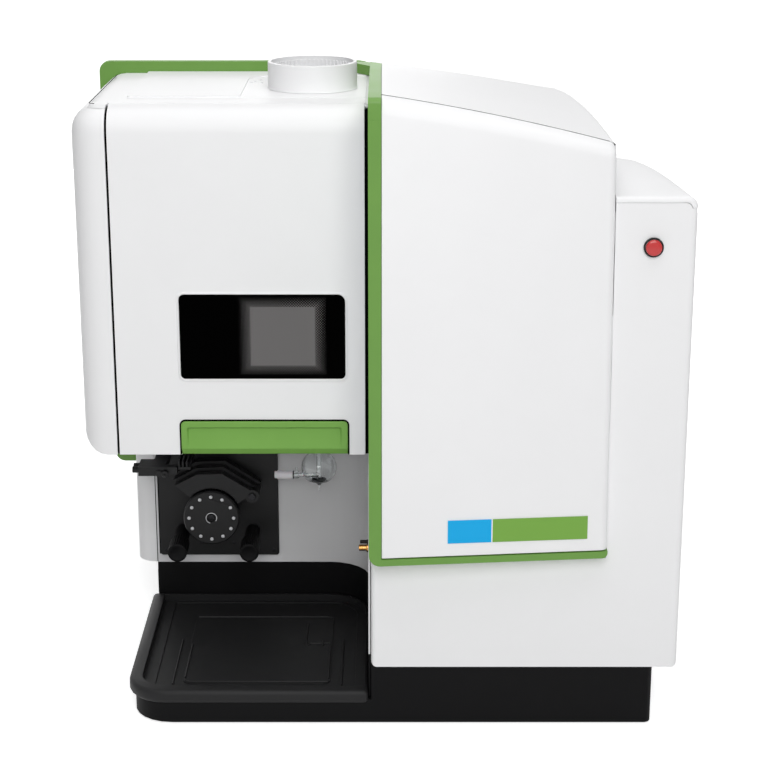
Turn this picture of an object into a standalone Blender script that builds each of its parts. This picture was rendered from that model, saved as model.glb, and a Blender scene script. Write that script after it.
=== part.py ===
"""Bench-top inductively coupled plasma spectrometer, as separate pieces.

Metres, +Z up, -Y is the front. The origin is the middle of the footprint on the bench.
"""

import math

import bmesh
import bpy
from mathutils import Matrix, Vector

# Whole instrument
WIDTH = 0.662
DEPTH = 0.750
LEFT = 0  # places are measured from the left side and from the front
RIGHT = WIDTH
FRONT = 0
BACK = DEPTH
GAP = 0.0003  # between pieces that touch
WALL = 0.003  # moulded covers
SHEET = 0.002  # folded steel
OVERRUN = 0.010  # how far a cutter runs past the face that it cuts
ARC_STEPS = 6
ROUND_STEPS = 24

# Feet and plinth
FOOT_PROUD = 0.002
FOOT_HEIGHT = 0.007
FOOT_RADIUS = 0.014
FOOT_INSET = 0.055
PLINTH_LEFT_INSET = 0.0565
PLINTH_RIGHT_INSET = 0.0255
PLINTH_FRONT_INSET = 0.030
PLINTH_BACK_INSET = 0.012
PLINTH_TOP = 0.0715
PLINTH_WALL = 0.006
PLINTH_FLOOR = 0.010
PLINTH_CORNER = 0.045
PLINTH_SMALL_CORNER = 0.008
TRAY_SEAT = 0.030

# Right cabinet: the lower cover and column are one moulding, set back from the front panel
BODY_INSET = 0.026
BODY_LEFT = 0.3243
BODY_RETURN = 0.031
BODY_CORNER = 0.006
COLUMN_WIDTH = 0.0852
COLUMN_LEFT = RIGHT - COLUMN_WIDTH
COLUMN_DROP = 0.0985  # below the roof's crest
COLUMN_CREST_Y = 0.125
COLUMN_ROOF_RADIUS = 1.15
COLUMN_SLOPE_START_Y = 0.325
COLUMN_SLOPE = 0.170
COLUMN_CORNER_FRONT = 0.012
COLUMN_CORNER_BACK = 0.047
COLUMN_CORNER_FULL_Y = 0.275
COLUMN_LIP = 0.0065
COLUMN_LIP_ROUND = 0.004

# Green frame and front panel
GREEN_LEFT = 0.3225
GREEN_WIDTH = 0.0134
GREEN_BOTTOM = 0.2014
GREEN_STRIP = 0.0076
GREEN_RISE = 0.0060  # the strip's right end is higher than its left end
GREEN_DEPTH = 0.030
GREEN_RIBBON_HEIGHT = 0.023
GREEN_CORNER = 0.012
GREEN_BACK_DROP = 0.0095  # below the roof's crest
GREEN_SLANT_WIDTH = 0.014
GREEN_BACK_Y = 0.3912
GREEN_BACK_DEPTH = 0.0122
GREEN_BACK_BOTTOM = 0.190
GREEN_BACK_RIM = 0.015
GREEN_BACK_RETURN = 0.030
PANEL_REVEAL = 0.0011  # the dark line between the panel's foot and the strip
ROOF_REVEAL = 0.0009  # and between the panel and the roof
PANEL_PROUD = 0.0010  # the green band stands proud of the panel
PANEL_LEAN = 0.013
PANEL_TURN = 0.010
PANEL_TOP_INSET = 0.0860  # from the column's right side
PANEL_BOTTOM_INSET = 0.0828
PANEL_RIGHT_TOP = RIGHT - PANEL_TOP_INSET
PANEL_RIGHT_BOTTOM = RIGHT - PANEL_BOTTOM_INSET
PANEL_SEAM_Y = 0.037
PANEL_SIDE_ROUND = 0.0070
ROOF_CREST = 0.7020
ROOF_CREST_Y = 0.175
ROOF_RADIUS = 1.90
ROOF_FALL = 0.15
ROOF_ACROSS_RADIUS = 2.15
ROOF_FLAT_SHARE = 0.46  # the right side falls off less towards the back than the left
ROOF_RIGHT_INSET = 0.0855
ROOF_RIGHT = RIGHT - ROOF_RIGHT_INSET
SEAM_TURN_Y = 0.350  # from here back the roof's left seam slants away to the left
SEAM_BACK_X = 0.309
SHOULDER_FRONT = 0.007
SHOULDER_BACK = 0.024
SHOULDER_FULL_Y = 0.415
SKIRT_LAP = 0.030

# Left housing with the torch compartment
HOUSING_FRONT_INSET = 0.104
HOUSING_LEFT_INSET = 0.0045
HOUSING_RIGHT = 0.3189
HOUSING_BACK = 0.3785
HOUSING_BOTTOM = 0.2925
HOUSING_DROP = 0.0235  # below the roof's crest
HOUSING_ROUND = 0.028
PLATEAU_RISE = 0.0020
PLATEAU_LEFT = 0.0585
PLATEAU_FRONT = 0.1755
PAD_LEFT = 0.182
PAD_BACK = 0.3450
PAD_CORNER = 0.030
PAD_DEPTH = 0.0015
TOP_SEAM_X = 0.024
TOP_SEAM_FRONT = 0.113
DOOR_LEFT = 0.0454
DOOR_RIGHT = 0.3179
DOOR_GAP = 0.0025
DOOR_THICK = 0.012
DOOR_BOTTOM_LIFT = 0.0005
HINGE_Y = 0.135
HINGE_DROP = 0.003
HINGE_BEAD = 0.003
HINGE_PIN_RADIUS = 0.0013
WINDOW_LEFT = 0.1155
WINDOW_RIGHT = 0.2970
WINDOW_BOTTOM = 0.3802
WINDOW_TOP = 0.4766
WINDOW_CORNER = 0.005
WINDOW_RIM = 0.003
WINDOW_THICK = 0.004
SCREEN_LEFT = 0.181
SCREEN_RIGHT = 0.275
SCREEN_THICK = 0.001
HANDLE_LEFT = 0.1144
HANDLE_RIGHT = 0.2987
HANDLE_TOP = 0.3322
HANDLE_CORNER = 0.005
HANDLE_PROUD = 0.003
HANDLE_FIELD_MARGIN = 0.006
HANDLE_FIELD_DEPTH = 0.002
HANDLE_LIP = 0.012
TORCH_BOX_LEFT = 0.063
TORCH_BOX_RIGHT = 0.3150
TORCH_BOX_FRONT = 0.140

# Exhaust, torch and spray chamber
TORCH_X = 0.2610
TORCH_Y = 0.252
COLLAR_X = 0.2583
COLLAR_RADIUS = 0.0501
COLLAR_BORE = 0.0462
COLLAR_HEIGHT = 0.0305  # above the housing's top
COLLAR_FLANGE = 0.0012
EXHAUST_RADIUS = 0.036
EXHAUST_WALL = 0.0015
EXHAUST_START_SHARE = 0.4482  # of the room between the torch and the housing's top
TORCH_RADIUS = 0.010
TORCH_WALL = 0.0012
TORCH_BOTTOM = 0.345
TORCH_TOP = 0.500
TORCH_MOUNT_WIDTH = 0.056
TORCH_MOUNT_HEIGHT = 0.024
COIL_Z = 0.452
COIL_SPACING = 0.014
COIL_PLATE = 0.003
COIL_BORE = 0.0125
COIL_HALF_WIDTH = 0.024
COIL_SLOT = 0.004
SNOUT_Z = 0.470
SNOUT_RADIUS = 0.015
SNOUT_WALL = 0.002
SNOUT_LEFT = 0.286
BULB_Z = 0.2262
BULB_RADIUS = 0.0213
BULB_START = math.radians(-45)
BULB_END = math.radians(78)
GLASS_WALL = 0.0010
NECK_RADIUS = 0.0043
NECK_TOP = 0.3350
DRAIN_RADIUS = 0.0016
DRAIN_LENGTH = 0.015
NEBULISER_Z = 0.2165
NEBULISER_LEFT = 0.2078
NEBULISER_BODY = 0.0218
NEBULISER_RADIUS = 0.0060
NEBULISER_TUBE_RADIUS = 0.0026
NEBULISER_ARM = 0.0096

# Sample bay, with the peristaltic pump
BAY_LEFT = 0.0568
BAY_BACK = 0.305
BAY_RIGHT = 0.3215
BAY_CORNER = 0.050
BAY_ARM_FRONT = 0.0360
SPLASH_TOP = 0.0822
SPLASH_WALL = 0.0025
LOWER_LEFT_X = 0.0323
LOWER_LEFT_CORNER = 0.022
LOWER_LEFT_BOTTOM = 0.0832
PLATE_LEFT = 0.0622
PLATE_RIGHT = 0.2088
PLATE_BOTTOM = 0.0942
PLATE_TOP = 0.2560
PLATE_THICK = 0.005
PLATE_CORNER = 0.003
ROTOR_X = 0.1311
ROTOR_Z = 0.1632
ROTOR_FRONT = 0.2460
ROTOR_DISC = 0.006
ROTOR_RADIUS = 0.0338
ROLLER_COUNT = 12
ROLLER_RING = 0.0268
ROLLER_RADIUS = 0.0038
ROLLER_PIN_RADIUS = 0.0023
ROLLER_LENGTH = 0.035
CARRIER_DISC = 0.004
CARRIER_RADIUS = 0.0315
SHAFT_RADIUS = 0.0040
HUB_RADIUS = 0.0100
HUB_RECESS = 0.0055
HUB_RECESS_DEPTH = 0.003
RUNNING_GAP = 0.0005
MOTOR_RADIUS = 0.028
MOTOR_LENGTH = 0.060
SHOE_COUNT = 3
SHOE_SPACING = 0.0012
SHOE_BORE = 0.0352
SHOE_START = math.radians(26)
SHOE_END = math.radians(137)
SHOE_CORNERS = ((0.0595, 30), (0.0555, 76), (0.0555, 108), (0.0584, 138))  # radius and degrees
SHOE_STEPS = 14
SHOE_GROWTH = 0.0038  # each shoe is taller than the one in front
SHOE_PIVOT_X = 0.1800
SHOE_PIVOT_Z = 0.1882
SHOE_LUG = 0.0085
SHOE_PIN_RADIUS = 0.0028
SHOE_PIN_HEAD = 0.0045
CLIP_LEFT = 0.0460
CLIP_BODY_RIGHT = 0.0780
CLIP_RIGHT = 0.0925
CLIP_BOTTOM = 0.2190
CLIP_TOP = 0.2300
CLIP_FRONT = 0.2400
CLIP_TONGUE = 0.0110
CLIP_KNOB_RADIUS = 0.0040
CLIP_KNOB_LENGTH = 0.0075
KNOB_LEFT_X = 0.0910
KNOB_RIGHT_X = 0.1771
KNOB_Z = 0.1262
KNOB_FRONT = 0.225
KNOB_RADIUS = 0.0117
KNOB_HEAD = 0.034
KNOB_NECK = 0.0088
BRASS_Y = 0.175
BRASS_Z = 0.1536
BRASS_RADIUS = 0.0036
BRASS_LENGTH = 0.012
BRASS_NUT_RADIUS = 0.0052
BRASS_NUT = 0.003

# Drip tray
TRAY_LEFT = 0.0505
TRAY_FRONT = 0.0260
TRAY_TOP = 0.0420
TRAY_CLEARANCE = 0.0006
TRAY_FLOOR = 0.003
TRAY_RIM = 0.015
TRAY_BACK_RIM = 0.008
TRAY_RIGHT_RIM = 0.004
TRAY_GUTTER_LEFT = 0.030
TRAY_GUTTER_FRONT = 0.0225
TRAY_ROLL = 0.005
TRAY_LIP = 0.004  # the rim hangs down over the plinth
TRAY_STEP = 0.0012
TRAY_PAD_LEFT = 0.1105
TRAY_PAD_RIGHT = 0.2780
TRAY_PAD_FRONT = 0.0624
TRAY_PAD_BACK = 0.2470
TRAY_PAD_CORNER = 0.010

# Stop button and label
BUTTON_INSET = 0.0451  # from the right side
BUTTON_X = RIGHT - BUTTON_INSET
BUTTON_DROP = 0.0571  # below the column's crest
BUTTON_RADIUS = 0.0085
BUTTON_HEAD = 0.0030
BUTTON_STEM = 0.0055
BUTTON_STEM_LENGTH = 0.018
BEZEL_RADIUS = 0.0104
BEZEL_PROUD = 0.0035
LABEL_RIGHT_INSET = 0.1052
LABEL_RIGHT = RIGHT - LABEL_RIGHT_INSET
LABEL_WIDTH_SHARE = 0.5843  # of the front panel's width
LABEL_LEFT = LABEL_RIGHT - LABEL_WIDTH_SHARE * (PANEL_RIGHT_BOTTOM - GREEN_LEFT)
LABEL_BOTTOM = 0.2265
LABEL_TOP = 0.2525
LABEL_RISE = 0.0032  # along the panel's foot
LABEL_THICK = 0.0006

# Back panel and what is on it
REAR_RECESS = 0.020
FAN_X = 0.451
FAN_Z = 0.400
FAN_FRAME = 0.120
FAN_DEPTH = 0.025
FAN_RADIUS = 0.054
FAN_HUB = 0.020
FAN_BLADES = 7
FAN_BLADE_THICK = 0.0030
FAN_BLADE_TWIST = math.radians(35)
FAN_AXLE = 0.003
FAN_SPOKE = 0.006
FAN_CHORD_SHARE = 0.8
INLET_X = 0.451
INLET_Z = 0.140
INLET_WIDTH = 0.048
INLET_HEIGHT = 0.028
INLET_DEPTH = 0.026
INLET_FLANGE = 0.004
SWITCH_X = 0.521
SWITCH_WIDTH = 0.020
SWITCH_HEIGHT = 0.028
SWITCH_DEPTH = 0.010
PORT_X = 0.181
PORT_Z = 0.140
PORT_RADIUS = 0.006
PORT_NUT_RADIUS = 0.010
PORT_NUT = 0.006

# Large pieces inside
OPTICS_LEFT = 0.343
OPTICS_RIGHT_INSET = 0.099
OPTICS_RIGHT = RIGHT - OPTICS_RIGHT_INSET
OPTICS_FRONT = 0.075
OPTICS_BACK = 0.555
OPTICS_BOTTOM = 0.250
OPTICS_DROP = 0.112  # below the roof's crest
OPTICS_WALL = 0.006
SUPPLY_SIZE = (0.170, 0.260, 0.110)
SUPPLY_LEFT = 0.361
SUPPLY_FRONT = 0.175
GENERATOR_LEFT = 0.061
GENERATOR_FRONT = 0.435
GENERATOR_BACK_INSET = 0.095
GENERATOR_DEPTH = BACK - GENERATOR_BACK_INSET - GENERATOR_FRONT
GENERATOR_SIZE = (0.200, GENERATOR_DEPTH, 0.240)
VENT_WALL = 0.002

# Levels and planes that several pieces share
BODY_FACE = FRONT + BODY_INSET
DECK_BOTTOM = PLINTH_TOP + GAP
DECK_TOP = DECK_BOTTOM + SHEET
HOUSING_TOP = ROOF_CREST - HOUSING_DROP
GREEN_TOP_BACK = ROOF_CREST - GREEN_BACK_DROP
COLUMN_CREST = ROOF_CREST - COLUMN_DROP
OPTICS_TOP = ROOF_CREST - OPTICS_DROP
COLLAR_TOP = HOUSING_TOP + COLLAR_HEIGHT
EXHAUST_BOTTOM = TORCH_TOP + EXHAUST_START_SHARE * (HOUSING_TOP - TORCH_TOP)
BUTTON_Z = COLUMN_CREST - BUTTON_DROP
GREEN_RIGHT = GREEN_LEFT + GREEN_WIDTH
PANEL_LEFT = GREEN_RIGHT + GAP
HOUSING_LEFT = LEFT + HOUSING_LEFT_INSET
HOUSING_FRONT = FRONT + HOUSING_FRONT_INSET
REAR_FACE = BACK - REAR_RECESS
HINGE_Z = HOUSING_TOP - HINGE_DROP
PLATE_FACE = BAY_BACK - GAP - PLATE_THICK
COVER_FLOOR = DECK_BOTTOM

WHITE = ("white_moulding", (0.82, 0.82, 0.83, 1), 0.42, 0)
GREEN = ("green_moulding", (0.16, 0.33, 0.08, 1), 0.40, 0)
BLACK = ("black_moulding", (0.012, 0.012, 0.012, 1), 0.45, 0)
GREY = ("grey_paint", (0.36, 0.36, 0.37, 1), 0.5, 0)
STEEL = ("zinc_plated_steel", (0.55, 0.56, 0.58, 1), 0.35, 1)
ALLOY = ("cast_aluminium", (0.6, 0.6, 0.62, 1), 0.45, 1)
BRASS = ("brass", (0.72, 0.42, 0.16, 1), 0.3, 1)
ALUMINIUM = ("aluminium_plate", (0.7, 0.7, 0.72, 1), 0.3, 1)
DARK_STEEL = ("blackened_steel", (0.03, 0.03, 0.03, 1), 0.4, 1)
GLASS = ("clear_glass", (0.75, 0.78, 0.8, 1), 0.05, 0)
DARK_GLASS = ("dark_glass", (0.01, 0.01, 0.01, 1), 0.08, 0)
SCREEN = ("printed_screen", (0.15, 0.14, 0.14, 1), 0.5, 0)
RUBBER = ("black_rubber", (0.02, 0.02, 0.02, 1), 0.8, 0)
RED = ("red_moulding", (0.6, 0.04, 0.04, 1), 0.35, 0)
LABEL = ("printed_film", (0.02, 0.36, 0.72, 1), 0.4, 0)
PALE = ("pale_polymer", (0.7, 0.7, 0.74, 1), 0.4, 0)


def clear_scene():
    for old in list(bpy.data.objects):
        bpy.data.objects.remove(old, do_unlink=True)


def finish_material(finish):
    name, colour, roughness, metallic = finish
    material = bpy.data.materials.get(name)
    if material is None:
        material = bpy.data.materials.new(name)
        material.use_nodes = True
        shader = material.node_tree.nodes["Principled BSDF"]
        shader.inputs["Base Color"].default_value = colour
        shader.inputs["Roughness"].default_value = roughness
        shader.inputs["Metallic"].default_value = metallic
        material.diffuse_color = colour
    return material


def add_object(name, mesh_data, finish):
    """A named object from a bmesh, with its faces turned outwards."""
    bmesh.ops.recalc_face_normals(mesh_data, faces=mesh_data.faces)
    mesh = bpy.data.meshes.new(name)
    mesh_data.to_mesh(mesh)
    mesh_data.free()
    piece = bpy.data.objects.new(name, mesh)
    bpy.context.scene.collection.objects.link(piece)
    mesh.materials.append(finish_material(finish))
    return piece


def smooth(piece, degrees=30):
    """Shades a round piece smooth, with its hard edges kept sharp."""
    piece.data.shade_smooth()
    piece.data.set_sharp_from_angle(angle=math.radians(degrees))
    return piece


def to_space(axis, u, v, along):
    """A point of an outline: (u, v) is (x, y) for axis Z, (x, z) for axis Y and (y, z) for axis X."""
    if axis == "Z":
        return Vector((u, v, along))
    if axis == "Y":
        return Vector((u, along, v))
    return Vector((along, u, v))


def arc(centre, radius, start, end, steps=ARC_STEPS):
    points = []
    for step in range(steps + 1):
        angle = start + (end - start) * step / steps
        points.append((centre[0] + radius * math.cos(angle), centre[1] + radius * math.sin(angle)))
    return points


def circle(centre, radius, steps=ROUND_STEPS):
    return arc(centre, radius, 0, 2 * math.pi, steps)[:-1]


def rounded(corners, steps=ARC_STEPS):
    """An outline from (u, v, radius) corners, with each corner turned into an arc."""
    points = []
    count = len(corners)
    for index, (u, v, radius) in enumerate(corners):
        here = Vector((u, v))
        if radius == 0:
            points.append((u, v))
            continue
        before = Vector(corners[index - 1][:2])
        after = Vector(corners[(index + 1) % count][:2])
        to_before = (before - here).normalized()
        to_after = (after - here).normalized()
        half = to_before.angle(to_after) / 2
        centre = here + (to_before + to_after).normalized() * radius / math.sin(half)
        start = here + to_before * radius / math.tan(half) - centre
        end = here + to_after * radius / math.tan(half) - centre
        turn = start.angle_signed(end)
        for step in range(steps + 1):
            arm = start.copy()
            arm.rotate(Matrix.Rotation(-turn * step / steps, 2))
            points.append((centre.x + arm.x, centre.y + arm.y))
    return points


def rectangle(low, high, radius=0):
    return rounded(
        [
            (low[0], low[1], radius),
            (high[0], low[1], radius),
            (high[0], high[1], radius),
            (low[0], high[1], radius),
        ]
    )


def prism(name, outline, axis, low, high, finish):
    mesh_data = bmesh.new()
    bottom = [mesh_data.verts.new(to_space(axis, u, v, low)) for u, v in outline]
    top = [mesh_data.verts.new(to_space(axis, u, v, high)) for u, v in outline]
    mesh_data.faces.new(bottom)
    mesh_data.faces.new(top)
    for index in range(len(outline)):
        after = (index + 1) % len(outline)
        mesh_data.faces.new((bottom[index], bottom[after], top[after], top[index]))
    return add_object(name, mesh_data, finish)


def block(name, low, high, finish):
    return prism(name, rectangle(low[:2], high[:2]), "Z", low[2], high[2], finish)


def six_faced(name, corners, finish):
    """A block from eight corners: the four of one face, then the four behind them."""
    mesh_data = bmesh.new()
    verts = [mesh_data.verts.new(corner) for corner in corners]
    mesh_data.faces.new(verts[:4])
    mesh_data.faces.new(verts[4:])
    for index in range(4):
        after = (index + 1) % 4
        mesh_data.faces.new((verts[index], verts[after], verts[after + 4], verts[index + 4]))
    return add_object(name, mesh_data, finish)


def soft_block(name, low, high, radius, edges, finish, steps=ARC_STEPS):
    """A block with the named edges rounded, such as left_front for the edge of those two faces."""
    mesh_data = bmesh.new()
    bmesh.ops.create_cube(mesh_data, size=1)
    size = Vector(high) - Vector(low)
    middle = (Vector(high) + Vector(low)) / 2
    for vert in mesh_data.verts:
        vert.co = Vector(a * b for a, b in zip(vert.co, size)) + middle
    bmesh.ops.recalc_face_normals(mesh_data, faces=mesh_data.faces)
    sides = {
        "left": Vector((-1, 0, 0)),
        "right": Vector((1, 0, 0)),
        "front": Vector((0, -1, 0)),
        "back": Vector((0, 1, 0)),
        "bottom": Vector((0, 0, -1)),
        "top": Vector((0, 0, 1)),
    }
    picked = []
    for edge in mesh_data.edges:
        for pair in edges:
            wanted = [sides[side] for side in pair.split("_")]
            if all(any(face.normal.dot(side) > 0 for face in edge.link_faces) for side in wanted):
                picked.append(edge)
                break
    bmesh.ops.bevel(mesh_data, geom=picked, offset=radius, segments=steps, profile=0.5, affect="EDGES")
    return smooth(add_object(name, mesh_data, finish))


def turned(name, profile, axis, centre, finish, steps=ROUND_STEPS):
    """A closed profile of (radius, along) points turned about an axis through centre."""
    mesh_data = bmesh.new()
    rings = []
    for radius, along in profile:
        if radius == 0:
            rings.append([mesh_data.verts.new(to_space(axis, centre[0], centre[1], along))])
            continue
        ring = circle(centre, radius, steps)
        rings.append([mesh_data.verts.new(to_space(axis, u, v, along)) for u, v in ring])
    for index, ring in enumerate(rings):
        after = rings[(index + 1) % len(rings)]
        for step in range(steps):
            step_after = (step + 1) % steps
            corners = [
                ring[step % len(ring)],
                ring[step_after % len(ring)],
                after[step_after % len(after)],
                after[step % len(after)],
            ]
            corners = list(dict.fromkeys(corners))
            if len(corners) > 2:
                mesh_data.faces.new(corners)
    return smooth(add_object(name, mesh_data, finish))


def cylinder(name, axis, centre, radius, low, high, finish, steps=ROUND_STEPS):
    return turned(name, [(0, low), (radius, low), (radius, high), (0, high)], axis, centre, finish, steps)


def pipe(name, axis, centre, radius, bore, low, high, finish, steps=ROUND_STEPS):
    profile = [(bore, low), (radius, low), (radius, high), (bore, high)]
    return turned(name, profile, axis, centre, finish, steps)


def sheet_between(name, outer, inner, finish):
    """A closed sheet between two grids of points that have the same rows and columns."""
    mesh_data = bmesh.new()
    grids = [[[mesh_data.verts.new(point) for point in row] for row in grid] for grid in (outer, inner)]
    rows = len(outer)
    columns = len(outer[0])
    for grid in grids:
        for row in range(rows - 1):
            for column in range(columns - 1):
                mesh_data.faces.new(
                    (
                        grid[row][column],
                        grid[row][column + 1],
                        grid[row + 1][column + 1],
                        grid[row + 1][column],
                    )
                )
    top, bottom = grids
    for column in range(columns - 1):
        for row in (0, rows - 1):
            mesh_data.faces.new(
                (top[row][column], top[row][column + 1], bottom[row][column + 1], bottom[row][column])
            )
    for row in range(rows - 1):
        for column in (0, columns - 1):
            mesh_data.faces.new(
                (top[row][column], top[row + 1][column], bottom[row + 1][column], bottom[row][column])
            )
    return smooth(add_object(name, mesh_data, finish))


def combine(piece, operation, tools):
    """Applies a Boolean for each tool, which is then removed."""
    for tool in tools:
        modifier = piece.modifiers.new(operation.lower(), "BOOLEAN")
        modifier.operation = operation
        modifier.solver = "EXACT"
        modifier.object = tool
        graph = bpy.context.evaluated_depsgraph_get()
        done = bpy.data.meshes.new_from_object(piece.evaluated_get(graph), depsgraph=graph)
        piece.modifiers.remove(modifier)
        old = piece.data
        piece.data = done
        done.name = piece.name
        bpy.data.meshes.remove(old)
        spare = tool.data
        bpy.data.objects.remove(tool, do_unlink=True)
        bpy.data.meshes.remove(spare)
    return piece


def cut(piece, *tools):
    return combine(piece, "DIFFERENCE", tools)


def weld(piece, *tools):
    return combine(piece, "UNION", tools)


def keep(piece, *tools):
    return combine(piece, "INTERSECT", tools)


def origin_on_axis(piece, point):
    """Puts a moving piece's origin on its joint's axis, with the piece where it was."""
    piece.data.transform(Matrix.Translation(-Vector(point)))
    piece.location = point
    return piece


def plinth_box():
    low = (LEFT + PLINTH_LEFT_INSET, FRONT + PLINTH_FRONT_INSET)
    high = (RIGHT - PLINTH_RIGHT_INSET, BACK - PLINTH_BACK_INSET)
    return low, high


def plinth_outline(inset):
    low, high = plinth_box()
    small = PLINTH_SMALL_CORNER - inset if inset < PLINTH_SMALL_CORNER else 0
    return rounded(
        [
            (low[0] + inset, low[1] + inset, PLINTH_CORNER - inset),
            (high[0] - inset, low[1] + inset, small),
            (high[0] - inset, high[1] - inset, small),
            (low[0] + inset, high[1] - inset, small),
        ]
    )


def foot_places():
    low, high = plinth_box()
    places = {}
    for depth_name, y in (("front", low[1] + FOOT_INSET), ("back", high[1] - FOOT_INSET)):
        for side_name, x in (("left", low[0] + FOOT_INSET), ("right", high[0] - FOOT_INSET)):
            places[f"foot_{depth_name}_{side_name}"] = (x, y)
    return places


def make_plinth():
    low, high = plinth_box()
    plinth = prism("base_plinth", plinth_outline(0), "Z", FOOT_PROUD, PLINTH_TOP, BLACK)
    pocket = prism("pocket", plinth_outline(PLINTH_WALL), "Z", PLINTH_FLOOR, PLINTH_TOP + OVERRUN, BLACK)
    step = block(
        "step",
        (low[0] - OVERRUN, low[1] - OVERRUN, TRAY_SEAT),
        (BODY_LEFT, BAY_BACK + SPLASH_WALL + GAP, PLINTH_TOP + OVERRUN),
        BLACK,
    )
    cut(plinth, pocket, step)
    for place in foot_places().values():
        recess = cylinder(
            "recess", "Z", place, FOOT_RADIUS + GAP, FOOT_PROUD - OVERRUN, FOOT_HEIGHT + GAP, BLACK
        )
        cut(plinth, recess)
    return plinth


def make_feet():
    for name, place in foot_places().items():
        cylinder(name, "Z", place, FOOT_RADIUS, 0, FOOT_HEIGHT, RUBBER, 16)


def bay_path(offset):
    """The bay wall in plan, from its left end to the front of its right arm, moved back by offset."""
    back = BAY_BACK + offset
    right = BAY_RIGHT + offset
    radius = BAY_CORNER + offset
    corner = arc((right - radius, back - radius), radius, math.pi / 2, 0)
    return [(BAY_LEFT + GAP, back)] + corner + [(right, BAY_ARM_FRONT)]


def bay_wall(name, thickness, low, high, finish):
    outline = bay_path(0) + bay_path(thickness)[::-1]
    return prism(name, outline, "Z", low, high, finish)


def make_bay():
    shaft = (ROTOR_X, ROTOR_Z)
    liner = bay_wall("bay_liner", SHEET, SPLASH_TOP + GAP, HOUSING_BOTTOM - GAP, GREY)
    hole = cylinder("hole", "Y", shaft, SHAFT_RADIUS + SHEET, BAY_BACK - OVERRUN, BAY_BACK + OVERRUN, GREY)
    cut(liner, hole)
    splash = bay_wall("backsplash", SPLASH_WALL, TRAY_SEAT + GAP, SPLASH_TOP, BLACK)
    skirt = block(
        "skirt",
        (BAY_LEFT + GAP, BAY_BACK + GAP, DECK_TOP + GAP),
        (BAY_LEFT + GAP + SPLASH_WALL, REAR_FACE - GAP, SPLASH_TOP),
        BLACK,
    )
    weld(splash, skirt)
    return liner, splash


def make_lower_left_cover():
    """The white wall at the bay's left, with a rounded front corner and a floor turned in under it."""
    back = REAR_FACE
    inner = LOWER_LEFT_X + WALL
    centre = (LOWER_LEFT_X + LOWER_LEFT_CORNER, BAY_BACK + LOWER_LEFT_CORNER)
    outside = arc(centre, LOWER_LEFT_CORNER, -math.pi / 2, -math.pi)
    inside = arc(centre, LOWER_LEFT_CORNER - WALL, -math.pi, -math.pi / 2)
    outline = (
        [(BAY_LEFT, BAY_BACK + WALL), (BAY_LEFT, BAY_BACK)]
        + outside
        + [(LOWER_LEFT_X, back), (inner, back)]
        + inside
    )
    cover = prism("lower_left_cover", outline, "Z", LOWER_LEFT_BOTTOM, HOUSING_BOTTOM - GAP, WHITE)
    floor_outline = (
        [(BAY_LEFT, back - GAP), (BAY_LEFT, BAY_BACK + WALL / 2)]
        + arc(centre, LOWER_LEFT_CORNER - WALL / 2, -math.pi / 2, -math.pi)
        + [(LOWER_LEFT_X + WALL / 2, back - GAP)]
    )
    floor = prism("floor", floor_outline, "Z", LOWER_LEFT_BOTTOM, LOWER_LEFT_BOTTOM + WALL, WHITE)
    weld(cover, floor)
    above = block(
        "above",
        (LEFT, GREEN_BACK_Y - GREEN_BACK_DEPTH - GAP, GREEN_BACK_BOTTOM - GAP),
        (BAY_LEFT, BACK, HOUSING_TOP),
        WHITE,
    )
    return cut(cover, above)


def panel_face(x, z):
    """The plane of the front panel, which leans back and turns back to its right."""
    lean = PANEL_LEAN * (z - GREEN_BOTTOM) / (ROOF_CREST - GREEN_BOTTOM)
    turn = PANEL_TURN * (x - GREEN_LEFT) / (PANEL_RIGHT_BOTTOM - GREEN_LEFT)
    return FRONT + PANEL_PROUD + lean + turn


def roof_height(x, y):
    across = max(0, x - PANEL_LEFT)
    along = max(0, y - ROOF_CREST_Y) ** 2 / (2 * ROOF_RADIUS)
    share = 1 - ROOF_FLAT_SHARE * across / (ROOF_RIGHT - PANEL_LEFT)
    return ROOF_CREST - ROOF_FALL * across - across**2 / (2 * ROOF_ACROSS_RADIUS) - along * share


def eased(value):
    value = min(max(value, 0), 1)
    return value * value * (3 - 2 * value)


def edge_fall(distance, radius):
    """How far a rounded edge has fallen away at a distance from the rim."""
    if distance >= radius:
        return 0
    return radius - math.sqrt(radius**2 - (radius - distance) ** 2)


def panel_points(across_shares, up_shares, inset):
    """The panel's outer surface, or its inner one where inset is the wall's thickness."""
    grid = []
    for up in up_shares:
        row = []
        for across in across_shares:
            low = GREEN_BOTTOM + GREEN_STRIP + PANEL_REVEAL + GREEN_RISE * across
            right = panel_right(low + (ROOF_CREST - low) * up)
            from_right = (1 - across) * (right - PANEL_LEFT)
            x = right - from_right - inset * across
            high = roof_height(x, PANEL_SEAM_Y) - edge_fall(from_right, PANEL_SIDE_ROUND)
            from_top = (1 - up) * (high - low)
            z = high - from_top - inset * up
            top_round = PANEL_SEAM_Y - panel_face(x, high)
            top_fall = edge_fall(from_top, top_round) * (1 - inset / top_round)
            side_fall = edge_fall(from_right, PANEL_SIDE_ROUND) * (1 - inset / PANEL_SIDE_ROUND)
            y = min(panel_face(x, z) + inset + max(top_fall, side_fall), PANEL_SEAM_Y)
            row.append((x, y, z))
        grid.append(row)
    return grid


def make_front_panel():
    across_shares = (0, 0.12, 0.25, 0.38, 0.5, 0.62, 0.75, 0.88, 0.970, 0.977, 0.985, 0.993, 1)
    up_shares = (0, 0.3, 0.6, 0.85, 0.963, 0.972, 0.982, 0.992, 1)
    outer = panel_points(across_shares, up_shares, 0)
    inner = panel_points(across_shares, up_shares, WALL)
    return sheet_between("front_panel", outer, inner, WHITE)


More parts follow.
